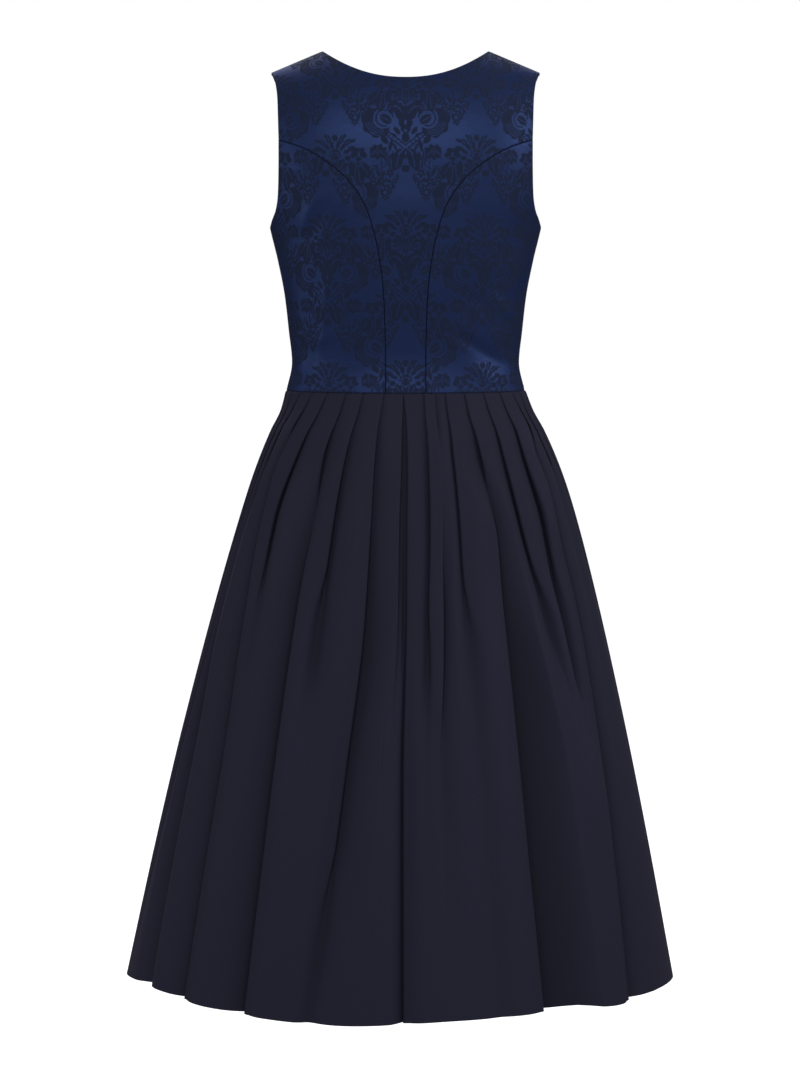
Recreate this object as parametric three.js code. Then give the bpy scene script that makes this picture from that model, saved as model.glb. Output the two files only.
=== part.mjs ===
// A sleeveless midi dirndl, filled out as it hangs from the shoulders.
// Millimetres, +Z up. The front faces -Y and the back +Y; +X is the wearer's left.
// The origin is midway between the shoulder seams, where the shoulders carry the dress.
import * as THREE from 'three';

// ---- Driving sizes ------------------------------------------------------------------------------
const WALL = 1.2;              // thickness of the cloth walls
const SEAM_GAP = 0.3;          // two pieces sewn together lie this far apart
const WAIST_Z = -377;          // height of the waist seam
const HEM_Z = -1057;           // height of the hem
const UNDERARM_Z = -192;       // where armhole and side seam meet
const BLADE_Z = -120;          // above this the bodice curves in to the shoulder seams

const NECK_POINT = { x: 94, z: 7.5 };        // inner end of a shoulder seam
const SHOULDER_TIP = { x: 152.7, z: -17 };   // outer end of a shoulder seam
const NAPE_TOP_Z = 22;         // where the shoulder slope would reach the centre line
const SHOULDER_POWER = 0.62;   // how round the bodice turns over the shoulder, 0.5 for a half round
const BACK_NECK_Z = -25;       // lowest point of the back neckline
const BACK_NECK_POWER = 2.2;   // how flat the back neckline is in its middle
const FRONT_NECK_Z = -118;     // lowest point of the front neckline
const FRONT_NECK_POWER = 5;    // the front neckline is a rounded square

const BUST = { x: 74, z: -232, rise: 8, wide: 40, tall: 42 };   // fullness from the front seams

// Girth of the bodice at each height: half width, and depth behind and before the side seams.
// `squareness` is the power of the superellipse, 2 for an ellipse. Above the underarm the widths
// are those of the figure inside the armholes.
const BODICE_GIRTH = [
  { z: -377, half: 136.3, back: 86, front: 97, squareness: 2.0 },
  { z: -345, half: 129.9, back: 82, front: 94, squareness: 2.0 },
  { z: -310, half: 133.3, back: 86, front: 97, squareness: 2.05 },
  { z: -270, half: 137.8, back: 93, front: 106, squareness: 2.1 },
  { z: -230, half: 145.5, back: 99, front: 113, squareness: 2.15 },
  { z: -192, half: 154.5, back: 104, front: 111, squareness: 2.2 },
  { z: -155, half: 161.0, back: 107, front: 102, squareness: 2.3 },
  { z: -120, half: 164.0, back: 107, front: 93, squareness: 2.4 },
  { z: 30, half: 170.0, back: 107, front: 93, squareness: 2.4 },
];

// Edges of the pieces: distance from the centre line at each height, princess seams and armholes
// from below up, and the underarm curves from the side seam up to the princess seam.
const BACK_PRINCESS = [
  { z: -377, x: 22.5 }, { z: -340, x: 22.5 }, { z: -290, x: 23.5 }, { z: -250, x: 26 },
  { z: -214, x: 31.5 }, { z: -181, x: 40 }, { z: -158, x: 50.5 }, { z: -139, x: 65 },
  { z: -124, x: 82 }, { z: -112, x: 100 }, { z: -102.5, x: 118 }, { z: -94.5, x: 142.6 },
];
const BACK_ARMHOLE = [
  { z: -94.5, x: 142.6 }, { z: -70, x: 143.5 }, { z: -48, x: 144.5 }, { z: -32, x: 146.7 },
  { z: -23, x: 149.6 }, { z: -17, x: 152.7 },
];
const BACK_UNDERARM = [
  { z: -192, x: 154.5 }, { z: -184, x: 151.5 }, { z: -172, x: 146.5 }, { z: -158, x: 144.0 },
  { z: -138, x: 143.0 }, { z: -112, x: 142.6 }, { z: -94.5, x: 142.6 },
];
const FRONT_PRINCESS = [
  { z: -377, x: 44 }, { z: -340, x: 48 }, { z: -290, x: 62 }, { z: -232, x: 75 },
  { z: -190, x: 84 }, { z: -160, x: 97 }, { z: -138, x: 114 }, { z: -122, x: 133.5 },
];
const FRONT_ARMHOLE = [
  { z: -122, x: 133.5 }, { z: -95, x: 133 }, { z: -60, x: 139 }, { z: -36, x: 146 },
  { z: -17, x: 152.7 },
];
const FRONT_UNDERARM = [
  { z: -192, x: 154.5 }, { z: -184, x: 150.5 }, { z: -170, x: 143 }, { z: -152, x: 137 },
  { z: -136, x: 134.2 }, { z: -122, x: 133.5 },
];

// Girth of the skirt over its fold edges: half width on each side, depth behind and before.
const SKIRT_GIRTH = [
  { z: -377, left: 136.6, right: 137.0, back: 86.5, front: 97.5 },
  { z: -400, left: 142.7, right: 146.0, back: 92.7, front: 103 },
  { z: -423, left: 154.2, right: 158.8, back: 101.5, front: 112 },
  { z: -469, left: 172.8, right: 178.5, back: 116, front: 127 },
  { z: -515, left: 187.9, right: 193.6, back: 128, front: 138 },
  { z: -619, left: 218.3, right: 220.6, back: 152, front: 160 },
  { z: -735, left: 249.0, right: 246.7, back: 176.5, front: 181 },
  { z: -876, left: 282.4, right: 275.4, back: 205, front: 206 },
  { z: -1057, left: 322.1, right: 309.3, back: 240, front: 236 },
];
const SKIRT_RINGS = [WAIST_Z, -386, -400, -440, -490, -560, -690, -870, HEM_Z];
const PLEAT_HEIGHTS = { seam: WAIST_Z, hip: -520, knee: -790, hem: HEM_Z };
const SEAM_DEPTH = 1.3;        // how deep a pressed pleat steps at the waist seam
const EDGE_STEP = 1.2;         // how far a fold's low point lies from its high edge
const CROWN = { seam: 0.2, hip: 1.6, knee: 2.8, hem: 4 };    // how far cloth bows out between folds
const BOX_DEPTH = { seam: 1.3, hip: 7, knee: 8, hem: 9 };    // floor of the pleat on the centre line
const LIP_SHARE = 0.45;        // how far down its depth a fold's under lip lies
const LIP_REACH = { least: 3, perDepth: 0.7, mostDegrees: 4 };   // how far that lip is from the edge
const OPENING_POWER = 0.6;     // the pleats open fast under the waist seam and then more slowly
const SHARPEST_MITRE = 0.6;    // keeps the wall from growing too thick inside a sharp fold
const HALF_TURNED = -0.4;      // lean at the hip of a fold that turns its other side on top

// One row for each fold of the back. Angles are degrees from the centre back, + to the wearer's
// left; depths are millimetres. `lean` 1 has the outer side on top, so the edge points at the
// centre back, and -1 the inner side; every pleat starts at the waist seam with lean 1.
const BACK_FOLDS = [
  { seam: 82, hip: 84, hem: 84, hipDepth: 5, kneeDepth: 3, hemDepth: 2, lean: 1 },
  { seam: 72, hip: 79, hem: 75, hipDepth: 5, kneeDepth: 3, hemDepth: 0, lean: 1 },
  { seam: 61, hip: 72, hem: 66, hipDepth: 6, kneeDepth: 4, hemDepth: 3, lean: -1 },
  { seam: 51.5, hip: 60, hem: 51, hipDepth: 8, kneeDepth: 9, hemDepth: 8, lean: -1 },
  { seam: 41, hip: 53, hem: 44, hipDepth: 6, kneeDepth: 0, hemDepth: 0, lean: 1 },
  { seam: 30.5, hip: 34, hem: 34, hipDepth: 8, kneeDepth: 13, hemDepth: 14, lean: -1 },
  { seam: 21.5, hip: 26, hem: 24, hipDepth: 6, kneeDepth: 1, hemDepth: 0, lean: 1 },
  { seam: 11.2, hip: 12.5, hem: 16, hipDepth: 7, kneeDepth: 4, hemDepth: 2, lean: 1 },
  { seam: 1.6, hip: 2.6, hem: 1.8, hipDepth: 7, kneeDepth: 8, hemDepth: 8, lean: 1 },
  { seam: -1.4, hip: -1.2, hem: -0.9, hipDepth: 7, kneeDepth: 9, hemDepth: 10, lean: 1 },
  { seam: -9.6, hip: -8.5, hem: -10, hipDepth: 6, kneeDepth: 3, hemDepth: 0, lean: 1 },
  { seam: -19.7, hip: -18.6, hem: -19, hipDepth: 5, kneeDepth: 0, hemDepth: 0, lean: 1 },
  { seam: -29.6, hip: -31, hem: -29.7, hipDepth: 8, kneeDepth: 12, hemDepth: 13, lean: -1 },
  { seam: -40.5, hip: -40.5, hem: -41, hipDepth: 7, kneeDepth: 3, hemDepth: 0, lean: 1 },
  { seam: -51.7, hip: -54, hem: -49, hipDepth: 6, kneeDepth: 2, hemDepth: 0, lean: 1 },
  { seam: -62, hip: -60, hem: -55.5, hipDepth: 8, kneeDepth: 11, hemDepth: 12, lean: -1 },
  { seam: -72, hip: -72, hem: -70, hipDepth: 5, kneeDepth: 3, hemDepth: 2, lean: 1 },
  { seam: -82, hip: -83, hem: -81, hipDepth: 5, kneeDepth: 2, hemDepth: 0, lean: 1 },
];

// How far the hem hangs above HEM_Z, by degrees from the centre back, + to the wearer's left.
const HEM_RISE = [
  { angle: -180, rise: 0 }, { angle: -90, rise: 3 }, { angle: -66, rise: 5 }, { angle: -50, rise: 1 },
  { angle: -38, rise: 6 }, { angle: -10, rise: 3 }, { angle: 14, rise: -3 }, { angle: 32, rise: 0 },
  { angle: 50, rise: 6 }, { angle: 66, rise: 12 }, { angle: 90, rise: 5 }, { angle: 180, rise: 0 },
];

// The front repeats the same pleats about the centre front, with angles from the centre front.
const FRONT_FOLDS = [
  { seam: 82, hip: 83, hem: 80, hipDepth: 5, kneeDepth: 6, hemDepth: 8, lean: 1 },
  { seam: 72, hip: 73, hem: 70, hipDepth: 6, kneeDepth: 2, hemDepth: 0, lean: 1 },
  { seam: 61.5, hip: 63, hem: 59, hipDepth: 6, kneeDepth: 9, hemDepth: 11, lean: -1 },
  { seam: 51.5, hip: 53, hem: 49, hipDepth: 7, kneeDepth: 3, hemDepth: 0, lean: 1 },
  { seam: 41, hip: 42, hem: 40, hipDepth: 5, kneeDepth: 0, hemDepth: 0, lean: 1 },
  { seam: 31, hip: 32, hem: 31, hipDepth: 7, kneeDepth: 11, hemDepth: 13, lean: -1 },
  { seam: 21, hip: 22, hem: 20.5, hipDepth: 6, kneeDepth: 2, hemDepth: 0, lean: 1 },
  { seam: 11, hip: 11.5, hem: 12, hipDepth: 5, kneeDepth: 3, hemDepth: 0, lean: 1 },
  { seam: 1.6, hip: 1.6, hem: 1.2, hipDepth: 7, kneeDepth: 8, hemDepth: 9, lean: 1 },
];

// Colours and finish.
const SATIN = { color: 0x232f4c, roughness: 0.42, metalness: 0 };
const SKIRT_CLOTH = { color: 0x1f1f2c, roughness: 0.78, metalness: 0 };

// ---- Reading the tables -------------------------------------------------------------------------
const lerp = (a, b, t) => a + (b - a) * t;
const clamp = (value, low, high) => Math.min(high, Math.max(low, value));
const radians = (degrees) => (degrees * Math.PI) / 180;

/** A column of a table at `at`, joined by a smooth curve that never overshoots its rows. */
function column(table, name, at, key = 'z') {
  const rows = table[0][key] < table[1][key] ? table : [...table].reverse();
  if (at <= rows[0][key]) return rows[0][name];
  const last = rows.length - 1;
  if (at >= rows[last][key]) return rows[last][name];
  const i = rows.findIndex((row, k) => k < last && at < rows[k + 1][key]);
  const slope = (k) => (rows[k + 1][name] - rows[k][name]) / (rows[k + 1][key] - rows[k][key]);
  const tangent = (k) => {
    if (k === 0) return slope(0);
    if (k === last) return slope(last - 1);
    const before = slope(k - 1);
    const after = slope(k);
    return before * after <= 0 ? 0 : (2 * before * after) / (before + after);
  };
  const span = rows[i + 1][key] - rows[i][key];
  const t = (at - rows[i][key]) / span;
  return (2 * t ** 3 - 3 * t ** 2 + 1) * rows[i][name]
    + (t ** 3 - 2 * t ** 2 + t) * span * tangent(i)
    + (3 * t ** 2 - 2 * t ** 3) * rows[i + 1][name]
    + (t ** 3 - t ** 2) * span * tangent(i + 1);
}

// ---- The surface of the bodice ------------------------------------------------------------------
/** Height of the shoulder seam's line over a point x from the centre. */
function shoulderHeight(x) {
  const slope = (NECK_POINT.z - SHOULDER_TIP.z) / (SHOULDER_TIP.x - NECK_POINT.x);
  if (x > NECK_POINT.x) return NECK_POINT.z - slope * (x - NECK_POINT.x);
  return lerp(NAPE_TOP_Z, NECK_POINT.z, (x / NECK_POINT.x) ** 2);
}

/** How much of its depth the bodice keeps where it curves in to the shoulder seam. */
function shoulderRounding(x, z) {
  const rise = clamp((z - BLADE_Z) / (shoulderHeight(x) - BLADE_Z), 0, 1);
  return (1 - rise ** 2) ** SHOULDER_POWER;
}

/** Point on the cloth's outside at `angle` degrees from the centre line, on the back or front. */
function bodicePoint(side, angle, z) {
  const half = column(BODICE_GIRTH, 'half', z);
  const power = 2 / column(BODICE_GIRTH, 'squareness', z);
  const turn = radians(clamp(angle, -90, 90));
  const x = Math.sign(turn) * half * Math.abs(Math.sin(turn)) ** power;
  let depth = column(BODICE_GIRTH, side, z) * Math.max(Math.cos(turn), 0) ** power;
  if (z > BLADE_Z) depth *= shoulderRounding(Math.abs(x), z);
  if (side === 'front') {
    const across = (Math.abs(x) - BUST.x) / BUST.wide;
    const up = (z - BUST.z) / BUST.tall;
    depth += BUST.rise * Math.exp(-(across ** 2) - up ** 2) * Math.cos(turn) ** 0.5;
  }
  const facing = side === 'back' ? 1 : -1;
  return new THREE.Vector3(x, facing * (depth + SEAM_GAP / 2), z);
}

/** Angle of the surface point that lies x from the centre line at height z. */
function angleAt(x, z) {
  const half = column(BODICE_GIRTH, 'half', z);
  const sine = clamp(Math.abs(x) / half, 0, 1) ** (column(BODICE_GIRTH, 'squareness', z) / 2);
  return (Math.sign(x) * Math.asin(sine) * 180) / Math.PI;
}

/** An edge table moved sideways, square to its own line, by `offset`. */
function movedEdge(table, offset) {
  return table.map((row, i) => {
    const before = table[Math.max(i - 1, 0)];
    const after = table[Math.min(i + 1, table.length - 1)];
    const run = Math.hypot(after.x - before.x, after.z - before.z);
    return {
      z: row.z - (offset * (after.x - before.x)) / run,
      x: row.x + (offset * (after.z - before.z)) / run,
    };
  });
}

/** Direction square to the cloth at a place, kept inside the plane of the seam that it lies on. */
function bodiceNormal(side, place) {
  const { angle, z } = place;
  const nudge = 0.1;
  const point = bodicePoint(side, angle, z);
  const across = bodicePoint(side, angle + nudge, z).sub(bodicePoint(side, angle - nudge, z));
  const up = bodicePoint(side, angle, z + nudge).sub(bodicePoint(side, angle, z - nudge));
  const normal = across.cross(up).normalize();
  if (side === 'back') normal.negate();
  if (Math.abs(point.y) < SEAM_GAP) normal.y = 0;              // side and shoulder seams
  if (Math.abs(point.x) < SEAM_GAP) normal.x = 0;              // centre line
  if (Math.abs(point.z - WAIST_Z) < SEAM_GAP) normal.z = 0;    // waist seam
  return normal.normalize();
}

// ---- Closed cloth walls -------------------------------------------------------------------------
/** A bodice piece from its places, an angle and a height each; `handed` -1 mirrors it. */
function bodicePiece(name, side, places, handed = 1) {
  const mirror = new THREE.Vector3(handed, 1, 1);
  const outer = places.map((row) => row.map((p) => bodicePoint(side, p.angle, p.z).multiply(mirror)));
  const inner = places.map((row, r) => row.map((p, c) => {
    const inward = bodiceNormal(side, p).multiply(mirror).multiplyScalar(-WALL);
    return outer[r][c].clone().add(inward);
  }));
  const clockwise = (places[0][0].angle < places[0][1].angle) === (side === 'back') ? 1 : -1;
  if (clockwise * handed > 0) [outer, inner].forEach((grid) => grid.forEach((row) => row.reverse()));
  return cloth(name, wallBetween(outer, inner), SATIN);
}

/** The closed mesh between an outer and an inner grid of the same size. */
function wallBetween(outer, inner) {
  const rows = outer.length;
  const cols = outer[0].length;
  const positions = [];
  [...outer, ...inner].flat().forEach((p) => positions.push(p.x, p.y, p.z));
  const out = (r, c) => r * cols + c;
  const back = (r, c) => rows * cols + r * cols + c;
  const faces = [];
  const quad = (a, b, c, d) => faces.push(a, b, c, a, c, d);
  for (let r = 0; r < rows - 1; r += 1) {
    for (let c = 0; c < cols - 1; c += 1) {
      quad(out(r, c), out(r, c + 1), out(r + 1, c + 1), out(r + 1, c));
      quad(back(r, c), back(r + 1, c), back(r + 1, c + 1), back(r, c + 1));
    }
    quad(out(r, 0), out(r + 1, 0), back(r + 1, 0), back(r, 0));
    quad(out(r, cols - 1), back(r, cols - 1), back(r + 1, cols - 1), out(r + 1, cols - 1));
  }
  for (let c = 0; c < cols - 1; c += 1) {
    quad(out(0, c), back(0, c), back(0, c + 1), out(0, c + 1));
    quad(out(rows - 1, c), out(rows - 1, c + 1), back(rows - 1, c + 1), back(rows - 1, c));
  }
  const geometry = new THREE.BufferGeometry();
  geometry.setAttribute('position', new THREE.Float32BufferAttribute(positions, 3));
  geometry.setIndex(faces);
  geometry.computeVertexNormals();
  return geometry;
}

function cloth(name, geometry, finish) {
  const mesh = new THREE.Mesh(geometry, new THREE.MeshStandardMaterial(finish));
  mesh.name = name;
  return mesh;
}

const even = (count) => Array.from({ length: count + 1 }, (_, i) => i / count);

// ---- Centre pieces: from the waist up to neckline and shoulder seams ----------------------------
const LAST_ROW = 8;            // height of the last level row under a neckline below the armholes
const NECK_SHARE = NECK_POINT.x / SHOULDER_TIP.x;
const SETTLING_PASSES = 30;

/**
 * Grid of places of a piece whose columns lie at `shares` of the way from the centre line to its
 * outer edge. The rows below the armhole are level, those above fan out to the top edge.
 */
function centreGrid(side, { princess, armhole, neckline, shares, levels, upperRows }) {
  const seam = movedEdge(princess, -SEAM_GAP / 2);
  const notch = armhole[0].z;
  const edge = (z) => (z < seam[seam.length - 1].z ? column(seam, 'x', z) : column(armhole, 'x', z));
  const topHeight = (share) => {
    let z = SHOULDER_TIP.z;
    for (let pass = 0; pass < SETTLING_PASSES; pass += 1) {
      const x = Math.abs(share) * edge(z);
      z = lerp(z, x < NECK_POINT.x ? neckline(x) : shoulderHeight(x), 0.5);
    }
    return z;
  };
  const place = (share, z) => {
    const x = share === 0 && side === 'front' ? SEAM_GAP / 2 : share * edge(z);
    return { angle: angleAt(x, z), z };
  };
  const rows = levels.map((z) => shares.map((share) => {
    const ceiling = topHeight(share);
    if (ceiling >= notch) return place(share, z);
    const rise = (z - WAIST_Z) / (notch - WAIST_Z);
    return place(share, lerp(WAIST_Z, ceiling - LAST_ROW, rise));
  }));
  even(upperRows).slice(1).forEach((rise) => rows.push(shares.map((share) => {
    const ceiling = topHeight(share);
    const floor = ceiling < notch ? ceiling - LAST_ROW : notch;
    return place(share, lerp(floor, ceiling, rise));
  })));
  return rows;
}

const backNeckline = (x) => lerp(BACK_NECK_Z, NECK_POINT.z, (x / NECK_POINT.x) ** BACK_NECK_POWER);
const frontNeckline = (x) => lerp(FRONT_NECK_Z, NECK_POINT.z, (x / NECK_POINT.x) ** FRONT_NECK_POWER);

// Heights of the level rows; the neighbours of a princess seam share them.
const BACK_LEVELS = [-377, -345, -300, -260, -225, -195, -170, -150, -134, -121, -111, -103, -98, -94.5];
const FRONT_LEVELS = [-377, -345, -300, -262, -232, -200, -175, -155, -140, -130, -122];

function backCentre() {
  const half = [1, 0.8, NECK_SHARE, 0.5, 0.38, 0.25, 0.12];
  const places = centreGrid('back', {
    princess: BACK_PRINCESS,
    armhole: BACK_ARMHOLE,
    neckline: backNeckline,
    shares: [...half, 0, ...half.map((share) => -share).reverse()],
    levels: BACK_LEVELS,
    upperRows: 5,
  });
  return bodicePiece('back_centre', 'back', places);
}

function frontCentre(name, handed) {
  const places = centreGrid('front', {
    princess: FRONT_PRINCESS,
    armhole: FRONT_ARMHOLE,
    neckline: frontNeckline,
    shares: [0, 0.12, 0.24, 0.36, 0.47, 0.55, NECK_SHARE, 0.7, 0.8, 0.9, 1],
    levels: FRONT_LEVELS,
    upperRows: 6,
  });
  return bodicePiece(name, 'front', places, handed);
}

// ---- Side pieces: between princess seam, side seam, waist and armhole ---------------------------
const SIDE_COLUMNS = 8;
const ARC_PER_DEGREE = 2;      // millimetres round the bodice for each degree, roughly

/** Share of a path's length that lies before each of its points. */
function lengthShares(points, across) {
  const arcs = [0];
  points.slice(1).forEach((p, i) => {
    arcs.push(arcs[i] + Math.hypot(across(p) - across(points[i]), p.z - points[i].z));
  });
  return arcs.map((arc) => arc / arcs[arcs.length - 1]);
}

/** Places spread evenly along an underarm curve, from the princess seam to the side seam. */
function underarmPlaces(table) {
  const path = [...table].reverse().map((row) => ({ angle: angleAt(row.x, row.z), z: row.z }));
  const shares = lengthShares(path, (p) => p.angle * ARC_PER_DEGREE);
  return even(SIDE_COLUMNS).map((goal) => {
    const next = Math.max(shares.findIndex((share) => share >= goal), 1);
    const part = (goal - shares[next - 1]) / (shares[next] - shares[next - 1]);
    return {
      angle: lerp(path[next - 1].angle, path[next].angle, part),
      z: lerp(path[next - 1].z, path[next].z, part),
    };
  });
}

/** A side piece, filled in evenly from its four edges. */
function sidePiece(name, side, { princess, underarm, levels }, handed) {
  const seam = movedEdge(princess, SEAM_GAP / 2);
  const seamPoints = levels.map((level) => {
    const z = Math.min(level, seam[seam.length - 1].z);
    return { x: column(seam, 'x', z), z };
  });
  const rises = lengthShares(seamPoints, (p) => p.x);
  const inner = seamPoints.map((p) => ({ angle: angleAt(p.x, p.z), z: p.z }));
  const outer = rises.map((v) => ({ angle: 90, z: lerp(WAIST_Z, UNDERARM_Z, v) }));
  const bottom = even(SIDE_COLUMNS).map((u) => ({ angle: lerp(inner[0].angle, 90, u), z: WAIST_Z }));
  const top = underarmPlaces(underarm);
  top[0] = inner[inner.length - 1];
  const fill = (key, u, v, c, r) => {
    const rows = lerp(bottom[c][key], top[c][key], v);
    const columns = lerp(inner[r][key], outer[r][key], u);
    const low = lerp(bottom[0][key], bottom[SIDE_COLUMNS][key], u);
    const high = lerp(top[0][key], top[SIDE_COLUMNS][key], u);
    return rows + columns - lerp(low, high, v);
  };
  const places = rises.map((v, r) => even(SIDE_COLUMNS).map((u, c) => ({
    angle: fill('angle', u, v, c, r),
    z: fill('z', u, v, c, r),
  })));
  return bodicePiece(name, side, places, handed);
}

// ---- The pleated skirt --------------------------------------------------------------------------
/** A fold's value at height z from its columns at the seam, the hip, the knee and the hem. */
function foldValue(z, { seam, hip, knee, hem }) {
  const h = PLEAT_HEIGHTS;
  if (z > h.hip) return lerp(seam, hip, ((h.seam - z) / (h.seam - h.hip)) ** OPENING_POWER);
  if (z > h.knee) return lerp(hip, knee, (h.hip - z) / (h.hip - h.knee));
  return lerp(knee, hem, (h.knee - z) / (h.knee - h.hem));
}

/** Angle of a fold at height z. */
function foldAngle(fold, z) {
  return foldValue(z, { ...fold, knee: (fold.hip + fold.hem) / 2 });
}

/**
 * Profile of the folds at height z: a list of angle in degrees and depth below the fold edges,
 * running away from the centre line. Each fold gives an inner lip, its low point and an outer lip,
 * and the cloth bows out between two folds.
 */
function foldProfile(folds, z, arcPerDegree) {
  const step = EDGE_STEP / arcPerDegree;
  const profile = [];
  folds.forEach((fold, i) => {
    const angle = foldAngle(fold, z);
    const depth = foldValue(z, {
      seam: SEAM_DEPTH, hip: fold.hipDepth, knee: fold.kneeDepth, hem: fold.hemDepth,
    });
    const lean = fold.lean > 0 ? 1 : foldValue(z, { seam: 1, hip: HALF_TURNED, knee: -1, hem: -1 });
    const outerOnTop = (1 + lean) / 2;
    const innerOnTop = 1 - outerOnTop;
    const reach = (LIP_REACH.least + LIP_REACH.perDepth * depth) / arcPerDegree;
    const lip = Math.min(reach, LIP_REACH.mostDegrees);
    const sunk = LIP_SHARE * depth;
    profile.push({ angle: angle - lip * outerOnTop, sink: sunk * outerOnTop });
    profile.push({ angle: angle - step * lean, sink: depth });
    profile.push({ angle: angle + lip * innerOnTop, sink: sunk * innerOnTop });
    if (i < folds.length - 1) {
      const next = foldAngle(folds[i + 1], z);
      profile.push({ angle: (angle + next) / 2, sink: -foldValue(z, CROWN) });
    }
  });
  return profile;
}

/** The same fold on the other side of the centre line when `hand` is -1. */
const turnedFold = (fold, hand) => ({
  ...fold,
  seam: fold.seam * hand,
  hip: fold.hip * hand,
  hem: fold.hem * hand,
});

/** Points of one level of half the skirt, from the wearer's left side seam to the right one. */
function skirtRing(side, folds, z) {
  const left = column(SKIRT_GIRTH, 'left', z);
  const right = column(SKIRT_GIRTH, 'right', z);
  const deep = column(SKIRT_GIRTH, side, z);
  const arcPerDegree = ((left + deep) / 2) * radians(1);
  const facing = side === 'back' ? 1 : -1;
  const halves = [1, -1].map((hand) => {
    const own = folds.map((fold) => turnedFold(fold, hand)).filter((fold) => fold.seam > 0);
    own.sort((a, b) => a.seam - b.seam);
    return foldProfile(own, z, arcPerDegree).map((p) => ({ ...p, angle: p.angle * hand }));
  });
  const profile = [
    { angle: 90, sink: 0 },
    ...halves[0].reverse(),
    { angle: 0, sink: foldValue(z, BOX_DEPTH) },
    ...halves[1],
    { angle: -90, sink: 0 },
  ];
  return profile.map((p) => {
    const half = p.angle > 0 ? left : right;
    const turn = radians(p.angle);
    const x = (half - p.sink) * Math.sin(turn);
    const y = facing * ((deep - p.sink) * Math.cos(turn) + SEAM_GAP / 2);
    const around = side === 'back' ? p.angle : Math.sign(p.angle) * (180 - Math.abs(p.angle));
    const rise = z === HEM_Z ? column(HEM_RISE, 'rise', around, 'angle') : 0;
    return new THREE.Vector3(x, y, z + rise);
  });
}

/** The ring moved in by the wall's thickness, level and square to its own line. */
function insideRing(ring, facing) {
  const squareTo = (a, b) => {
    const run = Math.hypot(b.x - a.x, b.y - a.y);
    return new THREE.Vector2((facing * (b.y - a.y)) / run, (facing * (a.x - b.x)) / run);
  };
  return ring.map((point, i) => {
    if (i === 0 || i === ring.length - 1) {
      return new THREE.Vector3(point.x - Math.sign(point.x) * WALL, point.y, point.z);
    }
    const before = squareTo(ring[i - 1], point);
    const normal = before.clone().add(squareTo(point, ring[i + 1])).normalize();
    const reach = WALL / Math.max(normal.dot(before), SHARPEST_MITRE);
    return new THREE.Vector3(point.x - normal.x * reach, point.y - normal.y * reach, point.z);
  });
}

/** The front or the back of the skirt, from side seam to side seam. */
function skirtHalf(name, side, folds) {
  const facing = side === 'back' ? 1 : -1;
  const outer = SKIRT_RINGS.map((z) => {
    const ring = skirtRing(side, folds, z);
    if (z === WAIST_Z) ring.forEach((p) => p.setZ(WAIST_Z - SEAM_GAP));
    return ring;
  });
  const inner = outer.map((ring) => insideRing(ring, facing));
  const rising = [outer, inner].map((grid) => [...grid].reverse());
  if (side === 'front') rising.forEach((grid) => grid.forEach((ring) => ring.reverse()));
  return cloth(name, wallBetween(...rising), SKIRT_CLOTH);
}

// ---- The dress ----------------------------------------------------------------------------------
const BACK_SIDE = { princess: BACK_PRINCESS, underarm: BACK_UNDERARM, levels: BACK_LEVELS };
const FRONT_SIDE = { princess: FRONT_PRINCESS, underarm: FRONT_UNDERARM, levels: FRONT_LEVELS };
const bothSides = (folds) => [...folds, ...folds.map((fold) => turnedFold(fold, -1))];

const dirndl = new THREE.Group();
dirndl.name = 'dirndl';
dirndl.add(
  backCentre(),
  sidePiece('back_side_left', 'back', BACK_SIDE, 1),
  sidePiece('back_side_right', 'back', BACK_SIDE, -1),
  frontCentre('front_centre_left', 1),
  frontCentre('front_centre_right', -1),
  sidePiece('front_side_left', 'front', FRONT_SIDE, 1),
  sidePiece('front_side_right', 'front', FRONT_SIDE, -1),
  skirtHalf('skirt_back', 'back', BACK_FOLDS),
  skirtHalf('skirt_front', 'front', bothSides(FRONT_FOLDS)),
);

export default dirndl;
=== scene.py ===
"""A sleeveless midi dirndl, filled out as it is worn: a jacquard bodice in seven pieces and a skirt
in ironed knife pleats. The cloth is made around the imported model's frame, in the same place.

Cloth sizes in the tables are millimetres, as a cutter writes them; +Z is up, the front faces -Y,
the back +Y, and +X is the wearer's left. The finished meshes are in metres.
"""
import math

import bpy
import numpy as np
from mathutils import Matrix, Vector


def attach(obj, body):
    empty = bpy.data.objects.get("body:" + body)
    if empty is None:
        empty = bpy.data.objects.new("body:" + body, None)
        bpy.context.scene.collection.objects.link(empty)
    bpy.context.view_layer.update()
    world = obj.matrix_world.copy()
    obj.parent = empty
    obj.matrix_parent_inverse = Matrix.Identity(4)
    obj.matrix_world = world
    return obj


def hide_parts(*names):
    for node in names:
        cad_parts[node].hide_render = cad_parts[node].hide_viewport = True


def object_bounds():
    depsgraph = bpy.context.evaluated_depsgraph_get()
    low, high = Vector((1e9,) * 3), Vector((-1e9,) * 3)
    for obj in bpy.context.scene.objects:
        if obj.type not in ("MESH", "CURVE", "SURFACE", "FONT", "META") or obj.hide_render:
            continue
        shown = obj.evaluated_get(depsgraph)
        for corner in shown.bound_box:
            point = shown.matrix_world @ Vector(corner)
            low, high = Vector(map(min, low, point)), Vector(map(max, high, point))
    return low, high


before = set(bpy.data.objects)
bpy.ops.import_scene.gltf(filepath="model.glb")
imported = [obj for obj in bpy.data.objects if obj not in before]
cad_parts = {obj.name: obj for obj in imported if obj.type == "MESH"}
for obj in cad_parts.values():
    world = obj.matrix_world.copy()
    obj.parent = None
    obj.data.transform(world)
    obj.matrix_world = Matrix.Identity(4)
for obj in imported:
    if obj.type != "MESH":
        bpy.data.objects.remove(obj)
CAD_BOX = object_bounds()

bl_info = {
    "name": "Dirndl",
    "version": (1, 0, 0),
    "blender": (4, 5, 0),
    "location": "3D View > Sidebar > Dirndl",
    "description": "Cuts, pleats and finishes a midi dirndl around its packed frame",
    "category": "Object",
}

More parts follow.
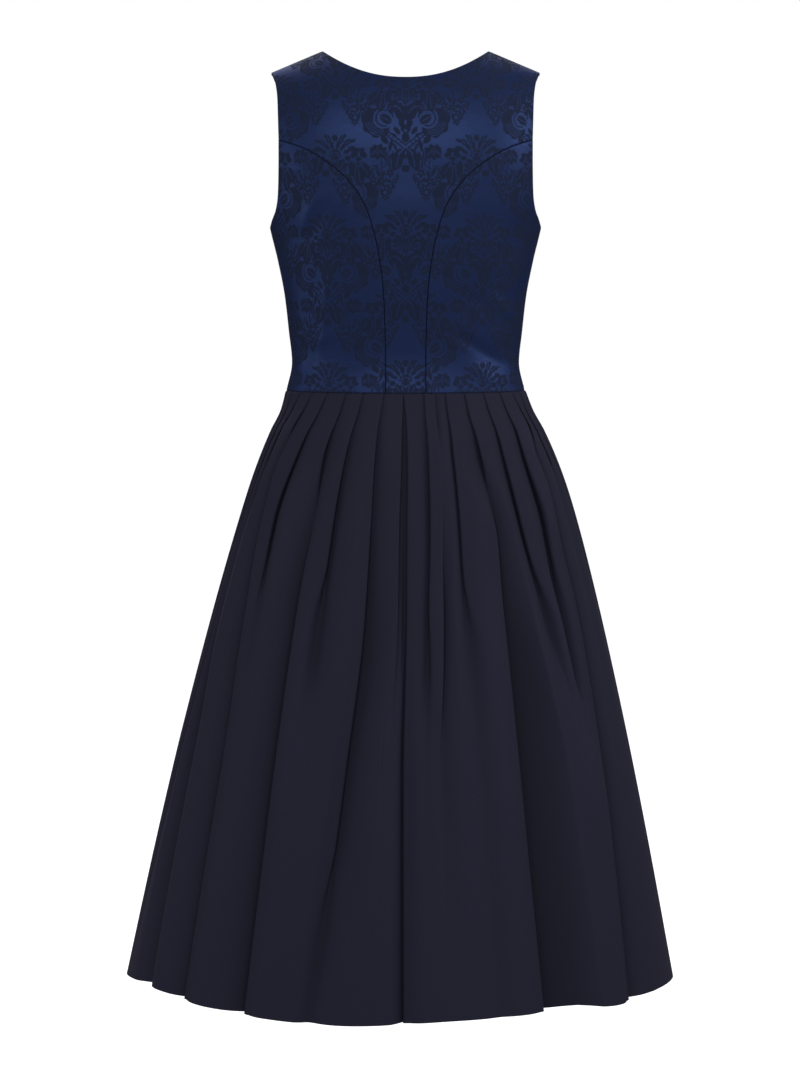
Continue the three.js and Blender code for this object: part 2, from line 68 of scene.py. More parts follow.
MM = 0.001


# ---- Sizes and colours that a user would change --------------------------------------------------
class DirndlSizes(bpy.types.PropertyGroup):
    """Thicknesses and small sizes of the cloth."""

    jacquard_thickness: bpy.props.FloatProperty(
        name="Jacquard", description="Thickness of the bodice's cloth",
        default=0.0007, unit="LENGTH", precision=5)
    skirt_thickness: bpy.props.FloatProperty(
        name="Skirt cloth", description="Thickness of the skirt's cloth",
        default=0.00045, unit="LENGTH", precision=5)
    edge_roll: bpy.props.FloatProperty(
        name="Edge roll", description="How deep a panel turns in at its seams and edges",
        default=0.0007, unit="LENGTH", precision=5)
    edge_width: bpy.props.FloatProperty(
        name="Edge width", description="How wide the turned-in strip along a seam or edge is",
        default=0.0011, unit="LENGTH", precision=5)
    repeat_across: bpy.props.FloatProperty(
        name="Repeat across", description="Distance between two columns of the damask",
        default=0.079, unit="LENGTH", precision=4)
    repeat_down: bpy.props.FloatProperty(
        name="Repeat down", description="Height of one repeat of the damask",
        default=0.168, unit="LENGTH", precision=4)
    weave_pitch: bpy.props.FloatProperty(
        name="Weave", description="Distance between two ribs of the weave",
        default=0.0005, unit="LENGTH", precision=5)


class DirndlColours(bpy.types.PropertyGroup):
    """Colours of the cloths."""

    satin: bpy.props.FloatVectorProperty(
        name="Satin ground", description="Colour of the jacquard's glossy ground",
        subtype="COLOR", size=3, default=(0.0132, 0.0228, 0.0700))
    motif: bpy.props.FloatVectorProperty(
        name="Motif", description="Colour of the jacquard's matt leaves and flowers",
        subtype="COLOR", size=3, default=(0.0100, 0.0142, 0.0330))
    skirt: bpy.props.FloatVectorProperty(
        name="Skirt", description="Colour of the skirt's cloth",
        subtype="COLOR", size=3, default=(0.0110, 0.0107, 0.0214))


class DirndlStage(bpy.types.PropertyGroup):
    """Camera, floor and light."""

    distance: bpy.props.FloatProperty(
        name="Camera distance", description="How far behind the dress the camera stands",
        default=3.6, unit="LENGTH")
    camera_height: bpy.props.FloatProperty(
        name="Camera height", description="Height of the camera in the dress's frame",
        default=-0.216, unit="LENGTH")
    aim_height: bpy.props.FloatProperty(
        name="Aim height", description="Height on the dress's axis that the camera looks at",
        default=-0.542, unit="LENGTH")
    aside: bpy.props.FloatProperty(
        name="Aside", description="How far to the wearer's left the camera stands",
        default=0.0063, unit="LENGTH", precision=4)
    lens: bpy.props.FloatProperty(
        name="Lens", description="Focal length on a 36 mm sensor, in millimetres",
        default=106.05)
    ambient: bpy.props.FloatProperty(
        name="Ambient", description="Strength of the even light from all round",
        default=0.16, min=0.0, max=1.0)
    floor_drop: bpy.props.FloatProperty(
        name="Floor drop", description="How far under the hem the floor lies",
        default=0.30, unit="LENGTH")


# ---- The cut: the same tables as the frame's own pieces ------------------------------------------
def table(names, *rows):
    """A table as one array for each named column."""
    return {name: np.array(values, float) for name, values in zip(names, zip(*rows))}


WAIST_Z = -377.0
HEM_Z = -1057.0
HEM_RISE_Z = -650.0             # under this the hem's unevenness begins to show
UNDERARM_Z = -192.0
BLADE_Z = -120.0                 # above this the bodice curves in to the shoulder seams
NECK_POINT = (94.0, 7.5)         # inner end of a shoulder seam, x and z
SHOULDER_TIP = (152.7, -17.0)    # outer end of a shoulder seam, x and z
NAPE_TOP_Z = 22.0                # where the shoulder slope would reach the centre line
SHOULDER_POWER = 0.62
BACK_NECK_Z = -25.0
BACK_NECK_POWER = 2.2
FRONT_NECK_Z = -118.0
FRONT_NECK_POWER = 5.0
SEAM_GAP = 0.3                   # the front and the back lie this far apart at the side seams
BUST = {"x": 74.0, "z": -232.0, "rise": 8.0, "wide": 40.0, "tall": 42.0}

BODICE_GIRTH = table(
    ("z", "half", "back", "front", "squareness"),
    (-377, 136.3, 86, 97, 2.0),
    (-345, 129.9, 82, 94, 2.0),
    (-310, 133.3, 86, 97, 2.05),
    (-270, 137.8, 93, 106, 2.1),
    (-230, 145.5, 99, 113, 2.15),
    (-192, 154.5, 104, 111, 2.2),
    (-155, 161.0, 107, 102, 2.3),
    (-120, 164.0, 107, 93, 2.4),
    (30, 170.0, 107, 93, 2.4),
)
BACK_PRINCESS = table(
    ("z", "x"),
    (-377, 22.5), (-340, 22.5), (-290, 23.5), (-250, 26), (-214, 31.5), (-181, 40),
    (-158, 50.5), (-139, 65), (-124, 82), (-112, 100), (-102.5, 118), (-94.5, 142.6),
)
BACK_ARMHOLE = table(
    ("z", "x"),
    (-94.5, 142.6), (-70, 143.5), (-48, 144.5), (-32, 146.7), (-23, 149.6), (-17, 152.7),
)
BACK_UNDERARM = table(
    ("z", "x"),
    (-192, 154.5), (-184, 151.5), (-172, 146.5), (-158, 144), (-138, 143), (-112, 142.6),
    (-94.5, 142.6),
)
FRONT_PRINCESS = table(
    ("z", "x"),
    (-377, 44), (-340, 48), (-290, 62), (-232, 75), (-190, 84), (-160, 97), (-138, 114),
    (-122, 133.5),
)
FRONT_ARMHOLE = table(
    ("z", "x"),
    (-122, 133.5), (-95, 133), (-60, 139), (-36, 146), (-17, 152.7),
)
FRONT_UNDERARM = table(
    ("z", "x"),
    (-192, 154.5), (-184, 150.5), (-170, 143), (-152, 137), (-136, 134.2), (-122, 133.5),
)
SKIRT_GIRTH = table(
    ("z", "left", "right", "back", "front"),
    (-377, 136.6, 137.0, 86.5, 97.5),
    (-400, 142.7, 146.0, 92.7, 103),
    (-423, 154.2, 158.8, 101.5, 112),
    (-469, 172.8, 178.5, 116, 127),
    (-515, 187.9, 193.6, 128, 138),
    (-619, 218.3, 220.6, 152, 160),
    (-735, 249.0, 246.7, 176.5, 181),
    (-876, 282.4, 275.4, 205, 206),
    (-1057, 322.1, 309.3, 240, 236),
)
HEM_RISE = table(
    ("angle", "rise"),
    (-180, 0), (-90, 3), (-66, 5), (-50, 1), (-38, 6), (-10, 3), (14, -3), (32, 0),
    (50, 6), (66, 12), (90, 5), (180, 0),
)


def column(rows, name, at, key="z"):
    """A column of a table at `at`, joined by a smooth curve that never overshoots its rows."""
    order = np.argsort(rows[key])
    keys = rows[key][order]
    values = rows[name][order]
    slope = np.diff(values) / np.diff(keys)
    tangent = np.empty_like(values)
    tangent[0] = slope[0]
    tangent[-1] = slope[-1]
    product = slope[:-1] * slope[1:]
    total = np.where(product > 0, slope[:-1] + slope[1:], 1)
    tangent[1:-1] = np.where(product > 0, 2 * product / total, 0)
    at = np.clip(np.asarray(at, float), keys[0], keys[-1])
    i = np.clip(np.searchsorted(keys, at, side="right") - 1, 0, len(keys) - 2)
    span = keys[i + 1] - keys[i]
    t = (at - keys[i]) / span
    return (
        (2 * t**3 - 3 * t**2 + 1) * values[i]
        + (t**3 - 2 * t**2 + t) * span * tangent[i]
        + (3 * t**2 - 2 * t**3) * values[i + 1]
        + (t**3 - t**2) * span * tangent[i + 1]
    )


def mix(a, b, t):
    """a where t is 0, b where it is 1."""
    return a + (b - a) * t


def smooth(t):
    """0 to 1 with soft ends, for t from 0 to 1."""
    t = np.clip(t, 0, 1)
    return t * t * (3 - 2 * t)


def hill(value, centre, reach):
    """1 at the centre, falling softly to nothing a few reaches away."""
    return np.exp(-(((value - centre) / reach) ** 2))


def passed(span, z):
    """0 above the first height of the span, 1 under its second one."""
    high, low = span
    return float(smooth((high - z) / (high - low)))


# ---- The surface of the bodice -------------------------------------------------------------------
def shoulder_height(x):
    """Height of the shoulder seam's line, x from the centre line."""
    slope = (NECK_POINT[1] - SHOULDER_TIP[1]) / (SHOULDER_TIP[0] - NECK_POINT[0])
    outside = NECK_POINT[1] - slope * (x - NECK_POINT[0])
    inside = mix(NAPE_TOP_Z, NECK_POINT[1], (x / NECK_POINT[0]) ** 2)
    return np.where(x > NECK_POINT[0], outside, inside)


def bodice_points(side, angle, z):
    """Points on the cloth's outside at `angle` degrees from the centre line, in millimetres."""
    half = column(BODICE_GIRTH, "half", z)
    power = 2 / column(BODICE_GIRTH, "squareness", z)
    turn = np.radians(np.clip(angle, -90, 90))
    x = np.sign(turn) * half * np.abs(np.sin(turn)) ** power
    depth = column(BODICE_GIRTH, side, z) * np.maximum(np.cos(turn), 0) ** power
    rise = np.clip((z - BLADE_Z) / (shoulder_height(np.abs(x)) - BLADE_Z), 0, 1)
    depth = depth * (1 - rise**2) ** SHOULDER_POWER
    if side == "front":
        across = (np.abs(x) - BUST["x"]) / BUST["wide"]
        up = (z - BUST["z"]) / BUST["tall"]
        fullness = BUST["rise"] * np.exp(-(across**2) - up**2)
        depth = depth + fullness * np.sqrt(np.maximum(np.cos(turn), 0))
    facing = 1 if side == "back" else -1
    return np.stack([x, facing * (depth + SEAM_GAP / 2), z + 0 * x], -1)


def angle_at(x, z):
    """Angle of the surface point that lies x from the centre line at height z."""
    half = column(BODICE_GIRTH, "half", z)
    sine = np.clip(np.abs(x) / half, 0, 1) ** (column(BODICE_GIRTH, "squareness", z) / 2)
    return np.sign(x) * np.degrees(np.arcsin(sine))


def bodice_normals(side, angle, z):
    """Directions square to the cloth, pointing out."""
    nudge = 0.2
    across = bodice_points(side, angle + nudge, z) - bodice_points(side, angle - nudge, z)
    up = bodice_points(side, angle, z + nudge) - bodice_points(side, angle, z - nudge)
    normal = np.cross(across, up)
    if side == "back":
        normal = -normal
    return normal / np.maximum(np.linalg.norm(normal, axis=-1, keepdims=True), 1e-9)


def back_creases(x, z):
    """How far the worn back stands out from its cut, in millimetres: soft drags and hollows."""
    def drag(start, end, height, reach):
        (x0, z0), (x1, z1) = start, end
        length = math.hypot(x1 - x0, z1 - z0)
        along = ((x - x0) * (x1 - x0) + (z - z0) * (z1 - z0)) / length
        aside = ((x - x0) * (z1 - z0) - (z - z0) * (x1 - x0)) / length
        fade = smooth(along / (0.35 * length)) * smooth((length - along) / (0.35 * length))
        return height * hill(aside, 0, reach) * fade

    relief = drag((82, -215), (98, -352), 1.2, 6) - drag((107, -240), (112, -378), 0.8, 6)
    relief += drag((-54, -336), (-128, -378), 1.0, 8) - drag((-46, -304), (-120, -352), 1.3, 7)
    relief += drag((70, -306), (112, -326), 0.6, 7) - drag((40, -348), (96, -372), 0.7, 7)
    relief += drag((-96, -262), (-122, -300), 0.8, 6) - drag((-62, -262), (-100, -290), 0.5, 7)
    relief += drag((96, -150), (124, -205), 0.9, 6) - drag((84, -160), (116, -222), 0.8, 7)
    relief -= 1.6 * hill(np.abs(x), 128, 17) * hill(z, -205, 26)
    relief += 0.5 * np.sin(z / 23 + x / 61) * hill(np.abs(x), 95, 40) * hill(z, -250, 60)
    return relief


def front_creases(x, z):
    """The front's own soft drags: from the bust to the side seams and down to the waist."""
    side = np.abs(x)
    relief = 0.9 * np.sin((z + 0.35 * side) / 8.5) * hill(side, 118, 14) * hill(z, -225, 18)
    relief += 0.7 * np.sin((z - 0.2 * side) / 9.5) * hill(side, 95, 26) * hill(z, -330, 20)
    return relief


# ---- Grids of the bodice's pieces ----------------------------------------------------------------
EDGE_STEPS = np.array([0, 0.3, 0.65, 1.05, 1.5, 2.1, 3.0, 4.4])    # from an edge inwards, mm
CLEARANCE = 0.08                 # half of the gap between two rolled edges in a seam
GRID_STEP = 3.2                  # side of a grid cell away from the edges, mm
NECK_COLUMNS = 31                # columns of a centre piece from the centre line to the neck point
TIP_COLUMNS = 16                 # and from there to its outer edge
BATCH = 4000                     # points measured at once, to spare memory


def along_edges(length):
    """Places from 0 to `length` with short steps near both ends."""
    inner = np.linspace(EDGE_STEPS[-1], length - EDGE_STEPS[-1],
                        max(int((length - 2 * EDGE_STEPS[-1]) / GRID_STEP), 2) + 1)
    return np.concatenate([EDGE_STEPS[:-1], inner, (length - EDGE_STEPS[:-1])[::-1]])


def edge_lengths(rows, z_low, z_high):
    """Heights along an edge table and how long the edge is up to each of them, on the back's form.

    This only spaces the rows of a grid, so it serves the front's edges too.
    """
    z = np.linspace(z_low, z_high, 300)
    points = bodice_points("back", angle_at(column(rows, "x", z), z), z)
    length = np.concatenate([[0], np.cumsum(np.linalg.norm(np.diff(points, axis=0), axis=1))])
    return z, length


def centre_places(princess, armhole, neckline, fan_from, one_sided=False):
    """Angles and heights of a centre piece's grid, row by row from the waist up.

    The rows are level up to `fan_from` and fan out above it to the neckline and shoulder seam.
    """
    notch = armhole["z"][0]
    neck_share = NECK_POINT[0] / SHOULDER_TIP[0]
    shares = np.linspace(0, neck_share, NECK_COLUMNS)
    centre_steps = EDGE_STEPS[:-1] if one_sided else np.empty(0)
    outer = np.arange(1, TIP_COLUMNS + 1) / TIP_COLUMNS

    def edge(z):
        return np.where(z < notch, column(princess, "x", z), column(armhole, "x", z)) - CLEARANCE

    def positions(z):
        """x of every column of one half, for an array with each column's height."""
        width = edge(z)
        tip = armhole["z"][-1]
        straight = np.interp(z, (fan_from, tip), (edge(fan_from), edge(tip)))
        inner = np.where(z < fan_from, width, straight)
        a = len(centre_steps)
        b = a + len(shares)
        c = b + len(outer)
        x = np.empty_like(z)
        x[:a] = centre_steps
        first = EDGE_STEPS[-1] if one_sided else 0
        x[a:b] = mix(first, neck_share * inner[a:b], shares / neck_share)
        x[b:c] = mix(neck_share * inner[b:c], width[b:c] - EDGE_STEPS[-1], outer)
        x[c:] = width[c:] - EDGE_STEPS[:-1][::-1]
        return x + (SEAM_GAP / 2 - CLEARANCE if one_sided else 0)

    total = len(centre_steps) + len(shares) + len(outer) + len(EDGE_STEPS) - 1
    z_edge, length = edge_lengths(princess, WAIST_Z, fan_from)
    steps = np.concatenate([EDGE_STEPS[:-1], np.linspace(
        EDGE_STEPS[-1], length[-1], int(length[-1] / GRID_STEP))])
    rows = [np.full(total, z) for z in np.interp(steps, length, z_edge)]

    top = np.full(total, armhole["z"][-1])
    for _ in range(60):          # a column's x hangs on its height and its height on x
        x = positions(top)
        neck = neckline(np.minimum(x, NECK_POINT[0]))
        ceiling = np.where(x < NECK_POINT[0], neck, shoulder_height(x))
        top = mix(top, ceiling, 0.5)
    height = top - fan_from - EDGE_STEPS[-1]
    rises = list(np.linspace(0, 1, int(height.max() / GRID_STEP) + 1)[1:])
    if fan_from < notch:
        rises.append((notch - fan_from) / height[-1])
    rows += [fan_from + rise * height for rise in sorted(rises)]
    rows += [top - step for step in EDGE_STEPS[:-1][::-1]]
    z = np.array(rows)
    x = np.array([positions(row) for row in z])
    if not one_sided:
        x = np.concatenate([-x[:, :0:-1], x], axis=1)
        z = np.concatenate([z[:, :0:-1], z], axis=1)
    return angle_at(x, z), z


def back_neckline(x):
    """Height of the back's neck edge, x from the centre line."""
    return mix(BACK_NECK_Z, NECK_POINT[1], (x / NECK_POINT[0]) ** BACK_NECK_POWER)


def front_neckline(x):
    """Height of the front's neck edge, x from the centre line."""
    return mix(FRONT_NECK_Z, NECK_POINT[1], (x / NECK_POINT[0]) ** FRONT_NECK_POWER)


def side_places(princess, underarm):
    """Angles and heights of a side piece's grid, filled in evenly from its four edges."""
    z_edge, length = edge_lengths(princess, WAIST_Z, princess["z"][-1])
    steps = along_edges(length[-1])
    v = steps / length[-1]
    inner_z = np.interp(steps, length, z_edge)
    inner_angle = angle_at(column(princess, "x", inner_z) + CLEARANCE, inner_z)
    outer_z = mix(WAIST_Z, UNDERARM_Z, v)

    z_edge, length = edge_lengths(underarm, UNDERARM_Z, princess["z"][-1])
    steps = along_edges(length[-1])
    u = steps / length[-1]
    top_z = np.interp(length[-1] - steps, length, z_edge)
    top_angle = angle_at(column(underarm, "x", top_z), top_z)
    top_angle[0] = inner_angle[-1]
    top_angle[-1] = 90

    def fill(bottom, top, inner, outer):
        rows = mix(bottom[None, :], top[None, :], v[:, None])
        columns = mix(inner[:, None], outer[:, None], u[None, :])
        low = mix(bottom[0], bottom[-1], u)[None, :]
        high = mix(top[0], top[-1], u)[None, :]
        return rows + columns - mix(low, high, v[:, None])

    angle = fill(mix(inner_angle[0], 90, u), top_angle, inner_angle, np.full_like(v, 90.0))
    return angle, fill(np.full_like(u, WAIST_Z), top_z, inner_z, outer_z)


def edge_distance(points, lines):
    """Distance of every grid point from the nearest of some edge lines."""
    flat = points.reshape(-1, 3)
    best = np.full(len(flat), 1e9)
    for line in lines:
        a = line[:-1]
        d = line[1:] - a
        square = np.maximum((d * d).sum(1), 1e-12)
        for start in range(0, len(flat), BATCH):
            batch = slice(start, start + BATCH)
            p = flat[batch]
            t = np.einsum("ijk,jk->ij", p[:, None] - a[None], d) / square
            near = a[None] + np.clip(t, 0, 1)[..., None] * d[None]
            gap = np.linalg.norm(p[:, None] - near, axis=2).min(1)
            best[batch] = np.minimum(best[batch], gap)
    return best.reshape(points.shape[:-1])


# ---- Meshes --------------------------------------------------------------------------------------
def grid_mesh(name, points, cloth_uv, tuck):
    """A mesh in metres from a grid of points, all in millimetres before.

    `cloth_uv` is where each point lies on the flat cloth. `tuck` is how far it is folded in between
    its neighbours, up to 1, or stands out from them, down to -1. The finishes paint shade from it
    where it is folded in, and on the skirt a highlight where it stands out.
    """
    rows, cols = points.shape[:2]
    index = np.arange(rows * cols).reshape(rows, cols)
    quads = np.stack([index[:-1, :-1], index[:-1, 1:], index[1:, 1:], index[1:, :-1]], -1)
    mesh = bpy.data.meshes.new(name)
    mesh.from_pydata((points.reshape(-1, 3) * MM).tolist(), [], quads.reshape(-1, 4).tolist())
    loops = np.empty(len(mesh.loops), np.int32)
    mesh.loops.foreach_get("vertex_index", loops)
    layer = mesh.uv_layers.new(name="cloth")
    layer.data.foreach_set("uv", (cloth_uv.reshape(-1, 2)[loops] * MM).astype(np.float32).ravel())
    attribute = mesh.attributes.new("tuck", "FLOAT", "POINT")
    attribute.data.foreach_set("value", np.clip(tuck, -1, 1).astype(np.float32).ravel())
    piece = bpy.data.objects.new(name, mesh)
    bpy.context.scene.collection.objects.link(piece)
    return piece


def finish_cloth(piece, thickness, finish):
    """Gives a sheet its thickness inwards, smooth shading and its cloth."""
    bpy.ops.object.select_all(action="DESELECT")
    piece.select_set(True)
    bpy.context.view_layer.objects.active = piece
    wall = piece.modifiers.new("Cloth thickness", "SOLIDIFY")
    wall.thickness = thickness
    wall.offset = -1
    bpy.ops.object.modifier_apply(modifier=wall.name)
    bpy.ops.object.shade_smooth_by_angle(angle=math.radians(50))
    piece.data.materials.append(finish)


def cloth_area(points):
    """Area of a grid of points in square metres."""
    across = points[:-1, 1:] - points[:-1, :-1]
    up = points[1:, :-1] - points[:-1, :-1]
    return float(np.linalg.norm(np.cross(across, up), axis=2).sum()) * MM * MM


def hand_over(piece, node):
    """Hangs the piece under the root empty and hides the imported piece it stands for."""
    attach(piece, "root")
    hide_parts(node)


# ---- Bodice pieces -------------------------------------------------------------------------------
MOTIF_TOP_Z = -173.0             # a motif of the centre back begins here
SIDE_BACK_MOTIF = (88.0, -177.0)     # x and z where a motif of each other panel begins
FRONT_MOTIF = (22, -190)
SIDE_FRONT_MOTIF = (104, -190)
BACK_FAN_Z = -94.5               # above these the rows of the centre pieces fan out
FRONT_FAN_Z = -150
CREASE_STRENGTH = 1.7            # how much deeper the creases are worn than their tables say
CREASE_FADE = 12                 # and how far from an edge they reach full depth, mm

# Seam allowances under the neighbour, mm: how far past the edge and how much deeper than it.
ALLOWANCE = ((0.05, 1.0), (1.2, 1.4), (5.0, 1.6))
SHOULDER_ALLOWANCE = ((0.3, 0.8), (2.0, 1.8), (5.0, 2.2))
# Rows and columns that an allowance adds before and after a piece's own.
ADDED = {
    "first": ((0, 0), (len(ALLOWANCE), 0)),
    "last": ((0, 0), (0, len(ALLOWANCE))),
    "top": ((0, len(SHOULDER_ALLOWANCE)), (0, 0)),
}

# A panel's flat size as it is worked out. The height is a guess and the width the longest row of the
# grid, which on the centre pieces follows the neckline, so those are declared wider than they are.
HEIGHT_EASE = 1.06               # what the cloth's curve is taken to add to the upright height
LEAST_SHARE = 0.31
                                 # least share of width times height for a panel's area: the centre
                                 # fronts fall under it and are raised to it


def flat_cloth(side, angle, z):
    """Where a place lies on the flat cloth: along the weft from the centre line, up the warp."""
    angles = np.linspace(-90, 90, 181)
    heights = np.linspace(WAIST_Z - 2, NAPE_TOP_Z, 240)
    grid = bodice_points(side, angles[None, :], heights[:, None])
    across = np.linalg.norm(np.diff(grid, axis=1), axis=2)
    weft = np.concatenate([np.zeros((len(heights), 1)), np.cumsum(across, axis=1)], axis=1)
    centre = len(angles) // 2
    weft -= weft[:, centre:centre + 1]
    up = np.linalg.norm(np.diff(grid, axis=0), axis=2)
    warp = np.concatenate([np.zeros((1, len(angles))), np.cumsum(up, axis=0)], axis=0)
    start = np.searchsorted(heights, MOTIF_TOP_Z)
    warp -= warp[start:start + 1]

    a = np.clip(angle + 90, 0, len(angles) - 1.001)
    share = (z - heights[0]) / (heights[-1] - heights[0])
    h = np.clip(share * (len(heights) - 1), 0, len(heights) - 1.001)
    i = h.astype(int)
    j = a.astype(int)
    s = h - i
    t = a - j

    def read(values):
        low = mix(values[i, j], values[i, j + 1], t)
        high = mix(values[i + 1, j], values[i + 1, j + 1], t)
        return mix(low, high, s)

    return np.stack([read(weft), read(warp)], -1)


def motif_place(side, x, z):
    """Weft and warp place of the point x from the centre line at height z."""
    x = np.array([x], float)
    z = np.array([z], float)
    return flat_cloth(side, angle_at(x, z), z)[0]


def add_allowance(points, plain, normal, edge):
    """The points with a seam allowance past their first or last column, or past the last row,
    where the back laps under the front along the shoulders and turns in at the neck."""
    if edge == "top":
        strips = [points[-1] + np.array([0, -past, -deeper]) for past, deeper in SHOULDER_ALLOWANCE]
        return np.concatenate([points, np.array(strips)], axis=0)
    first, inner = (0, 4) if edge == "first" else (-1, -5)
    outwards = plain[:, first] - plain[:, inner]
    outwards = outwards / np.linalg.norm(outwards, axis=1, keepdims=True)
    strips = [points[:, first] + outwards * past - normal[:, first] * deeper
              for past, deeper in ALLOWANCE]
    if edge == "first":
        return np.concatenate([np.stack(strips[::-1], axis=1), points], axis=1)
    return np.concatenate([points, np.stack(strips, axis=1)], axis=1)


def bodice_piece(name, side, places, handed, motif_at, laps, finish, sizes):
    """One panel of the bodice. `motif_at` is the weft and warp place where a motif begins, and
    `laps` names the edges whose seam allowance lies under the neighbour."""
    angle, z = places
    plain = bodice_points(side, angle, z)
    gap = edge_distance(plain, (plain[0], plain[-1], plain[:, 0], plain[:, -1]))
    inward = np.clip(1 - gap * MM / sizes.edge_width, 0, 1)
    creases = back_creases if side == "back" else front_creases
    facing = np.array([handed, 1, 1])
    relief = CREASE_STRENGTH * creases(plain[..., 0] * handed, plain[..., 2])
    relief = relief * smooth(gap / CREASE_FADE) - sizes.edge_roll / MM * inward**2
    normal = bodice_normals(side, angle, z)
    points = plain + normal * relief[..., None]
    cloth_uv = flat_cloth(side, angle, z) - np.array(motif_at)
    for edge in laps:
        points = add_allowance(points, plain, normal, edge)
        cloth_uv = np.pad(cloth_uv, (*ADDED[edge], (0, 0)), mode="edge")
        inward = np.pad(inward, ADDED[edge], mode="edge")
    points = points * facing
    cloth_uv[..., 0] *= handed
    outwards = (1 if side == "back" else -1) * handed
    if outwards > 0:
        points, cloth_uv, inward = points[:, ::-1], cloth_uv[:, ::-1], inward[:, ::-1]
    # The turned-in share also sets the painted shade along the seams and edges
    piece = grid_mesh(name, points, cloth_uv, inward**1.5)
    finish_cloth(piece, sizes.jacquard_thickness, finish)
    return piece, points


# ---- The pleated skirt ---------------------------------------------------------------------------
FOLD_HEIGHTS = np.array([-377, -410, -450, -520, -620, -790, -1057.0])
UPPER_DEPTHS = (2.2, 3.6)        # depth of every fold at the first two of them
FULL_DEPTH = 4.0                 # a fold this deep turns and holds the cloth fully
REACH_DEPTHS = (377, 450, 620, 1057)   # where a fold's reach is known: the seam, then its own three
SEAM_REACH = 6.0                 # every fold's reach at the waist seam
PLATEAU_SPAN = (-520, -700)      # heights over which a fold's plateau comes in


def fold(line, deep, reach=(12, 18, 28), turn=None, floor=None, soft=None, plateau=0.0):
    """One pleat edge of the skirt.

    line: degrees from the centre line at FOLD_HEIGHTS; deep: millimetres from the edge to the
    bottom at the last five of those heights; reach: how wide the cloth slopes in beside the edge at
    hip, knee and hem; turn: heights between which the inner side comes to lie on top; floor: down to
    these heights the cloth inside this fold is the flat floor of the centre pleat; soft: heights
    between which the edge relaxes into a rounded valley; plateau: how much of the sloping cloth of
    the lower half stays deep before it rises.
    """
    return {"line": np.array(line, float), "deep": np.array(UPPER_DEPTHS + deep, float),
            "reach": reach, "turn": turn, "floor": floor, "soft": soft, "plateau": plateau}


BACK_LEFT = (
    fold((1.7, 1.9, 2.0, 2.5, 2.6, 5, 6), (5, 5, 4, 0, 0), floor=(-600, -720)),
    fold((11.2, 12.4, 12.6, 12.4, 12.6, 15.3, 19.5), (5.5, 6, 8, 7, 3), (14, 60, 90),
         soft=(-860, -1000), plateau=0.75),
    fold((21.4, 23.4, 24.9, 26, 26.4, 26, 27), (5.5, 7, 6, 0, 0), (20, 30, 30), soft=(-560, -640)),
    fold((30.4, 33, 34.9, 34, 34, 34, 34), (7, 9, 13, 13, 14), (22, 64, 120), (-425, -610)),
    fold((41.1, 45.8, 49.3, 53.3, 50.9, 50, 50), (6, 8, 3, 0, 0), (16, 26, 30), soft=(-540, -640)),
    fold((51.7, 57.2, 60, 59.7, 56.4, 52.4, 51), (7, 9, 12, 12, 11), (16, 40, 90), (-400, -480)),
    fold((61.4, 68.5, 71.7, 74, 74, 70, 66), (6, 9, 10, 6, 4), (14, 30, 50), (-450, -560),
         soft=(-620, -760)),
    fold((72, 76, 79, 80.5, 80, 79, 78), (6, 7, 6, 2, 0), soft=(-560, -700)),
    fold((82, 83.5, 85, 86, 86, 86, 86), (5, 4, 2, 0, 0), soft=(-500, -600)),
)
BACK_RIGHT = (
    fold((-0.7, 0.7, 1.0, 0.8, 0.6, -0.4, -0.3), (5, 5.5, 6.5, 7.5, 8), (12, 30, 44),
         floor=(-600, -720)),
    fold((9.4, 9.3, 9.1, 8.6, 7.1, 4.9, 4.7), (5.5, 7, 6, 1, 0), (24, 26, 30), soft=(-600, -700)),
    fold((13, 13, 12.6, 11.8, 10.8, 9.0, 9.0), (0, 2, 6, 2, 0), (8, 36, 50), (-378, -379),
         soft=(-680, -820)),
    fold((19.7, 19.4, 18.8, 18.6, 17.9, 18.5, 19.7), (5.5, 6, 4, 1.5, 1), (14, 40, 80),
         soft=(-560, -680)),
    fold((29.6, 30, 30.7, 31.1, 29.8, 29.5, 29.8), (7, 10, 13, 16, 17), (24, 62, 128),
         (-440, -540), plateau=0.95),
    fold((40.5, 41.5, 41.4, 42.5, 46, 50.5, 51), (6, 8, 5, 0, 0), (16, 26, 30),
         soft=(-560, -640)),
    fold((51.7, 53.5, 52.9, 55.1, 54, 54.5, 53), (6, 9, 8, 0, 0), (18, 30, 30), soft=(-540, -640)),
    fold((62.5, 66.7, 62.1, 60.2, 62.4, 60.2, 55.1), (8, 10, 12, 12, 13), (14, 36, 60), (-420, -490)),
    fold((72, 73, 73, 72, 71.5, 70, 70), (3, 2, 1, 0, 0), soft=(-420, -500)),
    fold((82, 82, 82, 83, 83, 82, 82), (3, 2, 1, 0, 0), soft=(-420, -500)),
)
FRONT_HALF = (
    fold((1.6, 1.6, 1.6, 1.6, 1.6, 6, 8), (5, 5.5, 6, 3, 0), floor=(-600, -720)),
    fold((11, 11.3, 11.5, 11.5, 12, 13.5, 18), (5, 5, 5, 5, 4), (10, 26, 36), soft=(-620, -760)),
    fold((21, 22, 22, 22, 22.5, 23, 24), (5, 5, 3, 1, 0), soft=(-540, -640)),
    fold((31, 32.5, 33, 32, 32, 31.5, 31), (6, 8, 11, 14, 16), (10, 30, 60), (-430, -560)),
    fold((41, 42, 42.5, 42, 41.5, 41, 40), (5, 5, 2, 0, 0), soft=(-520, -620)),
    fold((51.5, 53, 53.5, 53, 51, 48, 46), (6, 7, 5, 3, 2), (10, 20, 30), soft=(-560, -680)),
    fold((61.5, 63.5, 64, 63, 62, 60.5, 59), (6, 7, 10, 13, 14), (10, 28, 54), (-420, -520)),
    fold((72, 73, 73.5, 73, 73, 72, 72), (6, 6, 4, 1, 0), soft=(-500, -600)),
    fold((82, 83, 83.5, 83, 83, 83, 83), (5, 5, 3, 2, 2), soft=(-520, -640)),
)
